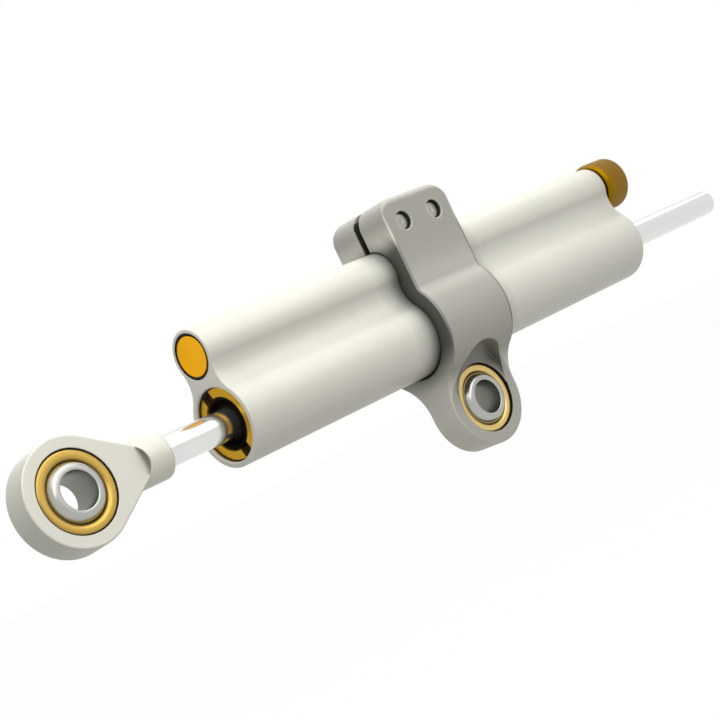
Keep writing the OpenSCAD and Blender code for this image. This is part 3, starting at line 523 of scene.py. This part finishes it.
def seal_head(name, node, matrix):
    """A turned head with a cup, seats for its seal, bush and ring, and two spanner slots across its face."""
    profile = eased([
        (HEAD_FACE, CUP_R, 0.6), (HEAD_FACE, HEAD_R, 0.45), (RING_FROM, HEAD_R, 0), (RING_FROM, RING_R, 0),
        (RING_TO, RING_R, 0), (RING_TO, HEAD_R, 0), (CHAMBER, HEAD_R, 0.2), (CHAMBER, BUSH_R, 0),
        (BUSH_FROM, BUSH_R, 0), (BUSH_FROM, PASSAGE_R, 0), (SEAL_TO, PASSAGE_R, 0), (SEAL_TO, SEAL_R, 0),
        (CUP_TO, SEAL_R, 0), (CUP_TO, CUP_R, 0),
    ])
    verts, faces = turned(profile)
    obj = put(name, place(verts, matrix), faces, HEAD, "cylinder", [node], "gold_aluminium")
    lean = Matrix.Rotation(SLOT_LEAN, 4, "X")
    reach = HEAD_R + 1.3
    box = [(-SLOT_HALF, -reach), (SLOT_HALF, -reach), (SLOT_HALF, reach), (-SLOT_HALF, reach)]
    verts, faces = prism(box, -1, SLOT_TO)
    cut(obj, place(place(verts, lean), matrix), faces)
    back = (matrix @ lean).inverted()

    def in_slot(p):
        q = back @ p
        return abs(q.y) < SLOT_HALF + 0.02 and 1.4 < q.x < SLOT_TO + 0.05 and math.hypot(q.y, q.z) > CUP_R - 0.2

    def in_corner(p):
        q = back @ p
        reach = math.hypot(q.y, q.z)
        return q.x < HEAD_FACE + 0.8 and (CUP_R - 0.1 < reach < CUP_R + 0.35 or reach > HEAD_R - 0.2)

    # The slots and the edges of the cup and of the face are painted in shaded gold: painted shade.
    paint(obj, SHADED_GOLD, in_slot)
    paint(obj, SHADED_GOLD, in_corner)


def wiper(name, node, matrix):
    """A rubber ring with a collar along the cup's wall and a lip that leans out to the rod."""
    profile = eased([
        (1.25, 6.75, 0.1), (5.42, 6.75, 0.1), (5.42, 4.08, 0.05), (2.05, 4.05, 0.1), (2.05, 4.45, 0.12),
        (3.25, 5.6, 0.3), (3.25, 6.2, 0.25), (1.25, 6.2, 0.15),
    ])
    verts, faces = turned(profile)
    put(name, place(verts, matrix), faces, RUBBER, "cylinder", [node], "black_rubber")


for end, matrix in (("front", INTO_FRONT), ("rear", INTO_REAR)):
    seal_head(f"{end}_head_turned", f"{end}_seal_head", matrix)
    wiper(f"{end}_wiper_lip", f"{end}_wiper", matrix)


# Rod with its two clip grooves

ROD_FROM, ROD_TO, ROD_TIP = -117.2, 142.0, 1.3
PISTON_X, CLIP_AWAY, CLIP_R = 18.3, 6.5, 3.6
grooves = []
for x in (PISTON_X - CLIP_AWAY, PISTON_X + CLIP_AWAY):
    grooves += [(x - 0.5, ROD_R, 0), (x - 0.5, CLIP_R, 0), (x + 0.5, CLIP_R, 0), (x + 0.5, ROD_R, 0)]
verts, faces = turned(eased([
    (ROD_FROM, 0, 0), (ROD_FROM, ROD_R, 0.3), *grooves, (ROD_TO - ROD_TIP, ROD_R, 1.0),
    (ROD_TO, ROD_R - ROD_TIP, 0.8), (ROD_TO, 0, 0),
]), closed=False)
put("rod_chromed", place(verts, moved(0, 0, MAIN_Z)), faces, CHROME, "rod_group", ["rod"], "rod_chrome")


# Ball joints

def ball(name, node, matrix, body):
    """A ball with two ground faces and a bore with rounded mouths."""
    edge, mouth_depth, mouth_width = 0.25, 0.25, 0.3
    face_r = math.sqrt(BALL_R**2 - BALL_HALF**2) - 0.4
    start = math.asin((BALL_HALF - edge) / BALL_R)
    profile = [(-BALL_HALF, face_r)]
    profile += [(BALL_R * math.sin(t), BALL_R * math.cos(t)) for t in np.linspace(-start, start, 60)]
    profile += [(BALL_HALF, face_r)]
    rim = [(BALL_HALF - mouth_depth * (1 - math.cos(t)), BALL_BORE_R + mouth_width * (1 - math.sin(t)))
           for t in np.linspace(0, math.pi / 2, 6)]
    profile += rim + [(-x, r) for x, r in reversed(rim)]
    verts, faces = turned(profile)
    obj = put(name, place(verts, matrix @ FACE_FRONT), faces, STEEL, body, [node], "ball_steel", sharp=30)
    back = matrix.inverted()

    def in_bore(p):
        q = back @ p
        return math.hypot(q.x, q.z) < BALL_BORE_R + 0.04

    def on_face(p):
        q = back @ p
        return abs(q.y) > BALL_HALF - 0.02 and math.hypot(q.x, q.z) > BALL_BORE_R + mouth_width

    # The bore is painted in a darker steel: painted shade inside it.
    paint(obj, SHADED_BORE, in_bore)
    paint(obj, GROUND, on_face)


def race(name, node, matrix, body, od, width, material, outer, flank):
    """A race with crowned faces, which painted shade darkens towards both of their edges.

    Outer is the easing of the outer edge, and flank how dark the painted shade on the crowned flanks is.
    """
    half, out_r, in_r = width / 2, od / 2 - 0.06, BALL_R + 0.05
    mouth_r = math.sqrt(BALL_R**2 - half**2) + 0.35
    inner = [
        (in_r * math.sin(t), in_r * math.cos(t))
        for t in np.linspace(1, -1, 41) * math.asin((half - 1.4) / in_r)
    ]
    face = eased([
        (-half, mouth_r, 1.6), (-half, out_r, outer), (half, out_r, outer), (half, mouth_r, 1.6),
    ], steps=14)
    clear = [max(1, in_r / math.hypot(*p)) for p in face]
    face = [(s * k, r * k) for (s, r), k in zip(face, clear)]
    verts, faces = turned(face + inner)
    obj = put(name, place(verts, matrix @ FACE_FRONT), faces, material, body, [node], "race_bronze", sharp=40)

    # Painted shade on the crowned flanks and at both edges.
    def dark(x, y, z):
        across = np.abs(np.hypot(x, z) - (mouth_r + out_r) / 2) / ((out_r - mouth_r) / 2)
        return flank * smooth(0.15, 0.95, across) + (0.85 - flank) * smooth(0.78, 1.02, across)

    paint_light_by_place(obj, matrix, dark)


ball("clamp_ball_turned", "clamp_ball", moved(0, 0, 0), "frame_ball")
ball("eye_ball_turned", "rod_end_ball", AT_EYE, "eye_ball")
race("clamp_race_turned", "clamp_race", moved(0, 0, 0), "cylinder", 19.8, 8.1, PALE_RACE, 0.6, 0.05)
race("eye_race_turned", "rod_end_race", AT_EYE, "rod_group", 20.64, 8.6, RACE, 0.8, 0.4)


# Rod end

EYE_R, NECK_R, NECK_X = 13.6, 5.5, 15.5
EYE_HALF, EYE_BORE_R = 4.4, 10.34
SHANK_R, SHANK_FROM, SHANK_TO = 6, 14.5, 27.5
NOSE_X, ROD_HOLE_R, ROD_HOLE_FROM = 14.3, 4.02, 14.0


def rod_end_field(x, y, z):
    """A flat eye that tapers to its neck, with a round shank whose nose ends in a hollow."""
    side = np.abs(z)
    b = (EYE_R - NECK_R) / NECK_X
    a = math.sqrt(1 - b * b)
    k = -b * side + a * x
    eye = np.where(
        k < 0, np.hypot(side, x) - EYE_R,
        np.where(k > a * NECK_X, np.hypot(side, x - NECK_X) - NECK_R, a * side + b * x - EYE_R),
    )
    flat = np.abs(y) - EYE_HALF
    slab = round_max(eye, flat, 0.5)
    shank = np.maximum(round_max(np.hypot(y, z) - SHANK_R, x - SHANK_TO, 1.0), SHANK_FROM - x)
    nose = np.where(x < NOSE_X, -SHANK_R, np.hypot(x - NOSE_X, z) - SHANK_R)
    shank = round_max(shank, np.minimum(-nose, flat), 0.3)
    solid = np.minimum(slab, shank)
    solid = round_max(solid, EYE_BORE_R - np.hypot(x, z) + 0 * y, 0.22)
    return np.maximum(solid, np.minimum(ROD_HOLE_R - np.hypot(y, z), x - ROD_HOLE_FROM))


FIELD_STEP = 0.2
rod_end, places = carved("rod_end_forged", rod_end_field, (-14.4, -7, -14.4), (28.4, 7, 14.4), FIELD_STEP,
                         AT_EYE, EYE, "rod_group", ["rod_end"], "body_aluminium")


def paint_seam_shade(obj, verts, bore_r, face_y):
    """The narrow groove around a race is painted in near-black shade."""
    obj.data.materials.append(SEAM_SHADE)
    reach = np.hypot(verts[:, 0], verts[:, 2])
    dark = (reach < bore_r + 0.3) & (reach > bore_r - 0.1) & (np.abs(verts[:, 1]) < face_y - 0.05)
    for polygon in obj.data.polygons:
        if all(dark[i] for i in polygon.vertices):
            polygon.material_index = 1


paint_seam_shade(rod_end, places, EYE_BORE_R, EYE_HALF)


def eye_rim_shade(x, y, z):
    """The rim is painted darker than the two ground faces: painted shade, deepening towards the eye's outer,
    lower side.
    """
    rim = (np.hypot(x, z) > EYE_R - 0.4) & (np.abs(y) < EYE_HALF - 0.2)
    return 0.2 * rim * smooth(4, -6, x + 0.8 * z - 4)


paint_light_by_place(rod_end, AT_EYE, eye_rim_shade)


# Clamp

WRAP_R = 11.3 + 4.55
FRONT_TAB, BACK_TAB = 7.15 + 4.4, 7.15 + 3.9
TAB_TOP, HALF_W, EAR_HALF = SPACING + 18.6, 13.4, 4.775
TAB_CORNER, TAB_HOLLOW, EAR_HOLLOW, SLIT_HALF = 5.5, 3.0, 12.5, 1.075
CLAMP_BORE_R, RELIEF_R, RELIEF_RISE, RELIEF_WALL_R = 9.92, 10.22, 4.5, 12.6
SCREW_X, SCREW_Z = 6.4, TUBE_Z + 11.4
SCREW_HOLE_R, HEAD_HOLE_R, HEAD_HOLE_DEPTH = 2.6, 4.4, 5.3


def hollowed(base, y, z, flank, r):
    """Adds the hollow between the round wall and a flat flank, where y > 0 and z > 0."""
    cy = flank + r
    cz = math.sqrt((WRAP_R + r) ** 2 - cy**2)
    zone = (y > 0) & (z < cz) & (z > 0) & (y * cz < z * cy)
    return np.where(zone, r - np.hypot(y - cy, z - cz), base)


def body_field(y, z):
    """The outside of both tubes and their web, with z from the main tube's middle."""
    base = np.minimum(np.hypot(y, z) - MAIN_R, np.hypot(y, z - SPACING) - TUBE_R)
    side = np.abs(y)
    below = side * WEB_Z < z * WEB_Y
    above = side * (SPACING - WEB_Z) < (SPACING - z) * WEB_Y
    zone = (z > 0) & (z < SPACING) & below & above
    return np.where(zone, WEB_R - np.hypot(side - WEB_Y, z - WEB_Z), base)


def clamp_section(y, h):
    """The clamp's outline: a round wall, two tabs above it and an ear below."""
    tabs = np.maximum(np.maximum(-y - FRONT_TAB, y - BACK_TAB), -h)
    ear = np.maximum(np.abs(y) - EAR_HALF, h)
    section = np.minimum(np.hypot(y, h) - WRAP_R, np.minimum(tabs, ear))
    section = hollowed(section, -y, h, FRONT_TAB, TAB_HOLLOW)
    section = hollowed(section, y, h, BACK_TAB, TAB_HOLLOW)
    return hollowed(section, np.abs(y), -h, EAR_HALF, EAR_HOLLOW)


def relief_slot(x, z):
    return np.hypot(x, z - np.clip(z, 0, RELIEF_RISE)) - RELIEF_R


def from_screw(x, z):
    return np.hypot(np.abs(x) - SCREW_X, z - SCREW_Z)


def clamp_field(x, y, z):
    h = z - MAIN_Z
    section = clamp_section(y, h)
    qx, qz = np.abs(x) - HALF_W + TAB_CORNER, h - TAB_TOP + TAB_CORNER
    beyond = np.hypot(np.maximum(qx, 0), np.maximum(qz, 0))
    upper = np.minimum(np.maximum(qx, qz), 0) + beyond - TAB_CORNER
    face = np.where(z < 0, np.hypot(x, z) - HALF_W, upper)
    steep = np.maximum(qz, 0) / np.maximum(beyond, 1e-6)
    solid = round_max(section, face, 0.4 + 1.3 * np.where(z > 0, steep * steep, 0))
    solid = round_max(solid, -(body_field(y, h + 0.12) - 0.2), 0.3)
    slit = np.maximum(np.abs(y) - SLIT_HALF, SPACING - h)
    solid = round_max(solid, -slit, 0.3)
    bolt = from_screw(x, z)
    solid = round_max(solid, SCREW_HOLE_R - bolt, 0.4)
    head = np.maximum(bolt - HEAD_HOLE_R, BACK_TAB - HEAD_HOLE_DEPTH - y)
    solid = round_max(solid, -head, 0.25)
    floor = round_max(EAR_HALF - np.abs(y), RELIEF_WALL_R - np.hypot(y, h), 3.0)
    relief = round_max(relief_slot(x, z), floor, 0.2)
    solid = round_max(solid, -relief, 0.2)
    return round_max(solid, CLAMP_BORE_R - np.hypot(x, z), 0.2)


clamp, places = carved("clamp_blasted", clamp_field, (-14.2, -17, -14.2), (14.2, 17, 61.8), FIELD_STEP,
                       moved(0, 0, 0), CAST, "cylinder", ["clamp"], "clamp_aluminium")
paint_seam_shade(clamp, places, CLAMP_BORE_R, EAR_HALF)


def clamp_painted_light(x, y, z):
    """Painted shade on the flanks beside the body, along the seam, below the small tube, in the relief, the
    slit and the screw holes; painted highlights along the front edges, round the holes, on the lower tab sides,
    the ear's rim, the blend into the wrap and the tab's top, and a faint painted shade high on the front tab's
    face.
    """
    h = z - MAIN_Z
    off = body_field(y, h)
    section = clamp_section(y, h)
    side = smooth(HALF_W - 1.0, HALF_W - 0.3, np.abs(x))
    front = y < 0
    # Painted shade: along the seam at the bore, on the flanks beside the body and below the small tube.
    seam = 1 - smooth(0.35, 0.6 + 0.6 * smooth(2, -9, h), off)
    under = 1 - smooth(SPACING - 4, SPACING + 5, h + 0.8 * y)
    shade = 0.80 * (1 - smooth(4.8, 7.5, off)) * smooth(-14, -5, h) * under
    # Painted shade in the relief, the slit and the screw holes.
    in_relief = (relief_slot(x, z) < 0.1) & (section < -0.06) & (np.abs(y) > EAR_HALF - 0.1)
    relief = 0.36 * in_relief * smooth(0.5, 4, z)
    in_slit = (np.abs(y) < SLIT_HALF + 0.125) & (h > SPACING + 5) & (h < TAB_TOP - 2)
    slit = 0.9 * in_slit * (np.abs(x) < HALF_W - 0.3)
    bolt = from_screw(x, z)
    lip = SCREW_HOLE_R + 0.25
    hole = smooth(lip, lip - 0.2, bolt) * smooth(FRONT_TAB - 0.15, FRONT_TAB - 0.4, -y) * front
    # Painted highlight round each hole's lip.
    rim = np.exp(-((bolt - lip) / 0.22) ** 2) * front
    # Painted highlight along the edges where the front meets the sides.
    edge = (1 - smooth(0.1, 0.3, -section)) * smooth(-6, 4, h) * front
    edge_highlight = edge * (1 - smooth(0.15, 0.4, np.abs(np.abs(x) - HALF_W + 0.12)))
    # Painted highlights on the lower tab sides, the ear's rim and the blend into the wrap.
    low_tab = side * smooth(TAB_TOP - 4, TAB_TOP - 12, h) * smooth(SPACING + 4, SPACING + 9, h)
    ear_rim = smooth(HALF_W - 0.4, HALF_W - 0.1, np.hypot(x, z)) * smooth(-4, 2, -h - 16) * (h < 0)
    blend = smooth(20, 13, h) * smooth(6, 10, h) * front * (1 - side)
    bright = 0.6 * edge_highlight + 0.35 * rim + 0.7 * low_tab + 0.6 * ear_rim + 0.25 * blend
    dark = np.maximum(np.maximum(seam * side, shade * side), np.maximum(np.maximum(relief, slit), hole))
    # A faint painted shade high on the front tab's face, and a painted highlight on the tab's top.
    flat = (y < -FRONT_TAB + 0.1) * (1 - side) * smooth(19, 25, h)
    crown = smooth(TAB_TOP - 2.5, TAB_TOP - 0.5, h) * (1 - side)
    return dark + 0.07 * flat - bright - 0.22 * crown


paint_light_by_place(clamp, moved(0, 0, 0), clamp_painted_light)


# Clamp screws: heads at the back, ends in the front tab

def both_screws(verts, faces):
    """A shape at each of the two screws, with its length along the screw."""
    return joined([
        (place(verts, moved(x, 0, SCREW_Z) @ FACE_FRONT), faces) for x in (-SCREW_X, SCREW_X)
    ])


def clamp_screw():
    """A head with a rounded edge, a threaded shank and an end with a shallow dimple."""
    head_at, end_at = BACK_TAB - 0.2, FRONT_TAB - 1.2
    head_r, head_h, thread_r, root_r, pitch = 4.25, 5, 2.5, 2.2, 0.8
    thread = []
    s = -head_at + head_h
    while s < end_at - 1.2:
        thread += [(s, thread_r, 0), (s + 0.35, root_r, 0.05)]
        s += pitch
    return turned(eased([
        (-head_at, 0, 0), (-head_at, head_r, 0.35), (-head_at + head_h, head_r, 0.15), *thread,
        (end_at - 0.3, thread_r, 0.1), (end_at, root_r, 0.15), (end_at, 0.7, 0.1), (end_at - 0.25, 0.0, 0),
    ]), 72)


def hexagon(across):
    """An outline with a width across its flats."""
    r = across / math.sqrt(3)
    return [(r * math.cos(math.radians(60 * k)), r * math.sin(math.radians(60 * k))) for k in range(6)]


screws = put("clamp_screws_turned", *both_screws(*clamp_screw()), SCREW, "cylinder", ["clamp_screws"],
             "screw_steel", sharp=25)
cut(screws, *both_screws(*prism(hexagon(4), -BACK_TAB - 1, -BACK_TAB + 2.8)), sharp=25)


# Reservoir plug and its snap ring

FACE_R, PLUG_R, PLUG_GROOVE_R = 5.35, 6.05, 5.06
verts, faces = turned(eased([
    (0.22, 0, 0), (0.2, 4.75, 0.1), (0.1, 4.85, 0.1), (0.1, FACE_R, 0.25), (1.3, FACE_R, 0),
    (1.3, PLUG_R, 0.15), (3.6, PLUG_R, 0), (3.6, PLUG_GROOVE_R, 0), (4.7, PLUG_GROOVE_R, 0), (4.7, PLUG_R, 0),
    (PLUG_SEAT, PLUG_R, 0.15), (PLUG_SEAT, 0, 0),
]), closed=False)
put("reservoir_plug_turned", place(verts, INTO_FRONT_TUBE), faces, GOLD, "cylinder", ["reservoir_plug"],
    "gold_aluminium")
SNAP_AT, SNAP_R, SNAP_WIRE_R = 0.7, 5.82, 0.45
verts, faces = turned([
    (SNAP_AT + SNAP_WIRE_R * math.cos(t), SNAP_R + SNAP_WIRE_R * math.sin(t))
    for t in np.linspace(0, 2 * math.pi, 16, False)
])
put("snap_ring_round", place(verts, INTO_FRONT_TUBE), faces, BLACK, "cylinder", ["plug_snap_ring"],
    "black_steel")


# Spring behind the separator piston

SPRING_FROM, SPRING_LEN, SPRING_R, SPRING_WIRE, SPRING_TURNS = 7.1, 10, 3.75, 0.9, 5


def wound(sides=10, steps=36):
    """A coil about X, whose first and last turns are closer together."""
    half = SPRING_WIRE / 2
    n = SPRING_TURNS * steps
    loops = []
    for t in (i / n for i in range(n + 1)):
        a = 2 * math.pi * SPRING_TURNS * t
        s = SPRING_FROM + half + (SPRING_LEN - SPRING_WIRE) * (t - 0.05 * math.sin(2 * math.pi * t))
        loop = []
        for b in (2 * math.pi * k / sides for k in range(sides)):
            r = SPRING_R + half * math.cos(b)
            loop.append((s + half * math.sin(b), r * math.cos(a), r * math.sin(a)))
        loops.append(loop)
    verts, faces = lofted(loops)
    last = n * sides
    return verts, faces + [tuple(range(sides)), tuple(range(last + sides - 1, last - 1, -1))]


verts, faces = wound()
spring = put("separator_spring_wound", place(verts, INTO_FRONT_TUBE), faces, SCREW, "cylinder",
             ["separator_spring"], "screw_steel", sharp=60)
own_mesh(spring)


# Knob with its straight knurl, and its screw

def knurled(n=100, per=6):
    """The knob with its ridges, the bores for spindle and screw, and the track of the detent ball."""
    def loop(s, r, depth):
        points = []
        for k in range(n * per):
            ridge = 1 - abs(2 * (k / per % 1) - 1)
            a = 2 * math.pi * k / (n * per)
            out = r - depth * (1 - ridge)
            points.append((s, out * math.cos(a), out * math.sin(a)))
        return points
    near, far, spindle_to = -0.35, -11.55, -7.45
    spindle_r, screw_r, head_r, track_r, track_a = 2.02, 1.3, 2.35, 4.2, 0.8
    reach = math.acos(-near / track_a)
    track = [
        (-track_a * math.cos(t), track_r + track_a * math.sin(t), 0) for t in np.linspace(-reach, reach, 9)
    ]
    rows = [
        (near, spindle_r, 0), *track, (near, 5.9, 0), (near - 0.5, 5.95, 0), (near - 0.5, 7.1, 0),
        (near - 0.6, 7.36, 0), (near - 0.8, 7.52, 0), (near - 1.45, 7.84, 0), (near - 1.7, 8.0, 0.05),
        (near - 2.0, 8.1, 0.13),
        (far + 1.3, 8.1, 0.13), (far + 0.9, 7.95, 0.05), (far + 0.3, 7.4, 0), (far + 0.06, 7.12, 0),
        (far, 6.9, 0), (far, head_r, 0), (far + 2, head_r, 0), (far + 2, screw_r, 0),
        (spindle_to, screw_r, 0), (spindle_to, spindle_r, 0),
    ]
    return lofted([loop(*row) for row in rows], closed=True)


verts, faces = knurled()
put("adjuster_knob_knurled", place(verts, INTO_REAR_TUBE), faces, KNOB, "knob_group", ["adjuster_knob"],
    "knob_aluminium", sharp=35)
KNOB_SCREW_FROM, KNOB_SCREW_HEAD_TO, KNOB_SCREW_TO = -11.35, -9.55, -3.55
verts, faces = turned(eased([
    (KNOB_SCREW_FROM, 0, 0), (KNOB_SCREW_FROM, 2.3, 0.25), (KNOB_SCREW_HEAD_TO, 2.3, 0),
    (KNOB_SCREW_HEAD_TO, 1.25, 0), (KNOB_SCREW_TO, 1.25, 0), (KNOB_SCREW_TO, 0, 0),
]), 72, closed=False)
knob_screw = put("knob_screw_turned", place(verts, INTO_REAR_TUBE), faces, SCREW, "knob_group", ["knob_screw"],
                 "screw_steel")
verts, faces = prism(hexagon(2), -12, -10.15)
cut(knob_screw, place(verts, INTO_REAR_TUBE), faces)


# Stage: a floor far below, soft lights, and the camera of the photograph

FLOOR_COLOUR, FLOOR_SEEN, FLOOR_GLOW = (0.31, 0.305, 0.285, 1), (0.96, 0.96, 0.96, 1), 0.88
FLOOR_Z, FLOOR_REACH = -0.26, 6
WHITE = (1, 1, 1, 1)


def sight(tree):
    """1 for what the camera sees, by itself or in metal and glass."""
    ray = add(tree, "ShaderNodeLightPath")
    total = ray.outputs["Is Camera Ray"]
    for kind in ("Is Glossy Ray", "Is Transmission Ray"):
        either = add(tree, "ShaderNodeMath", operation="MAXIMUM")
        tree.links.new(total, either.inputs[0])
        tree.links.new(ray.outputs[kind], either.inputs[1])
        total = either.outputs["Value"]
    return total


def stage_material():
    """White with a soft shadow to the camera and in metal, and a grey that bounces less light."""
    material, tree, shader = nodes_of("floor_pale")
    link = tree.links.new
    out = tree.nodes["Material Output"]
    seen = sight(tree)
    tint = add(tree, "ShaderNodeMixRGB", blend_type="MIX")
    tint.inputs["Color1"].default_value = FLOOR_COLOUR
    tint.inputs["Color2"].default_value = FLOOR_SEEN
    link(seen, tint.inputs["Fac"])
    link(tint.outputs["Color"], shader.inputs["Base Color"])
    shader.inputs["Roughness"].default_value = 0.9
    shader.inputs["Specular IOR Level"].default_value = 0.0
    glow = add(tree, "ShaderNodeEmission", Strength=1.0)
    glow.inputs["Color"].default_value = WHITE
    mix = add(tree, "ShaderNodeMixShader")
    share = add(tree, "ShaderNodeMath", operation="MULTIPLY")
    share.inputs[1].default_value = FLOOR_GLOW
    link(seen, share.inputs[0])
    link(share.outputs["Value"], mix.inputs["Fac"])
    link(shader.outputs["BSDF"], mix.inputs[1])
    link(glow.outputs["Emission"], mix.inputs[2])
    link(mix.outputs["Shader"], out.inputs["Surface"])
    return material


floor_mesh = bpy.data.meshes.new("floor")
floor_mesh.from_pydata([
    (x * FLOOR_REACH, y * FLOOR_REACH, FLOOR_Z) for x, y in ((-1, -1), (1, -1), (1, 1), (-1, 1))
], [], [(0, 1, 2, 3)])
floor_mesh.materials.append(stage_material())
floor = bpy.data.objects.new("floor", floor_mesh)
bpy.context.scene.collection.objects.link(floor)


def make_world():
    """A white tent, whose light is softer from the sides than from above."""
    world = bpy.data.worlds.new("studio")
    bpy.context.scene.world = world
    world.use_nodes = True
    tree = world.node_tree
    link = tree.links.new
    back = tree.nodes["Background"]
    where = add(tree, "ShaderNodeTexCoord")
    split = add(tree, "ShaderNodeSeparateXYZ")
    link(where.outputs["Generated"], split.inputs["Vector"])
    side = add(tree, "ShaderNodeVectorMath", operation="DOT_PRODUCT")
    side.inputs[1].default_value = Vector((-1, 0.3, 0)).normalized()
    link(where.outputs["Generated"], side.inputs[0])
    soft = {"interpolation_type": "SMOOTHSTEP"}
    level = add(tree, "ShaderNodeMath", operation="MULTIPLY")
    link(ramp(tree, split.outputs["Z"], (0, 0.8), (0.62, 1.05), **soft), level.inputs[0])
    link(ramp(tree, side.outputs["Value"], (0.3, 0.95), (1, 0.4), **soft), level.inputs[1])
    seen = add(tree, "ShaderNodeMixRGB", blend_type="MIX")
    seen.inputs["Color2"].default_value = WHITE
    link(sight(tree), seen.inputs["Fac"])
    link(level.outputs["Value"], seen.inputs["Color1"])
    link(seen.outputs["Color"], back.inputs["Color"])
    back.inputs["Strength"].default_value = 1.0


make_world()


def lamp(name, at, aim, size, power):
    """A soft rectangular lamp, in metres and watts, that the camera doesn't see."""
    data = bpy.data.lights.new(name, "AREA")
    data.shape, data.size, data.size_y = "RECTANGLE", *size
    data.energy = power
    obj = bpy.data.objects.new(name, data)
    bpy.context.scene.collection.objects.link(obj)
    obj.location = at
    obj.rotation_mode = "QUATERNION"
    obj.rotation_quaternion = (Vector(aim) - Vector(at)).to_track_quat("-Z", "Y")
    obj.visible_camera = False


lamp("key", (-0.10, -0.44, 0.52), (0, 0, 0.03), (1.3, 0.8), 4.5)
lamp("top", (0.35, 0.12, 0.62), (0.35, 0.12, 0), (1.5, 0.5), 2.1)


CAMERA_AT, CAMERA_LENS = (-331.22, -324.67, 19.08), 82.640
CAMERA_TURN = (-42.587, -0.650, -25.418)


def camera():
    """The photograph's camera, from its azimuth, elevation and roll in degrees."""
    data = bpy.data.cameras.new("camera")
    data.sensor_width, data.lens = 36.0, CAMERA_LENS
    data.clip_start, data.clip_end = 0.01, 50
    obj = bpy.data.objects.new("camera", data)
    bpy.context.scene.collection.objects.link(obj)
    az, el, roll = (math.radians(a) for a in CAMERA_TURN)
    back = Vector((math.sin(az) * math.cos(el), -math.cos(az) * math.cos(el), math.sin(el)))
    right = Vector((0, 0, 1)).cross(back).normalized()
    up = back.cross(right)
    c, s = math.cos(roll), math.sin(roll)
    r, u = c * right + s * up, c * up - s * right
    obj.rotation_mode = "QUATERNION"
    obj.rotation_quaternion = Matrix((r, u, back)).transposed().to_quaternion()
    obj.location = Vector(CAMERA_AT) * MM
    bpy.context.scene.camera = obj


camera()

bpy.context.scene.view_settings.view_transform = "Standard"

bpy.context.view_layer.update()
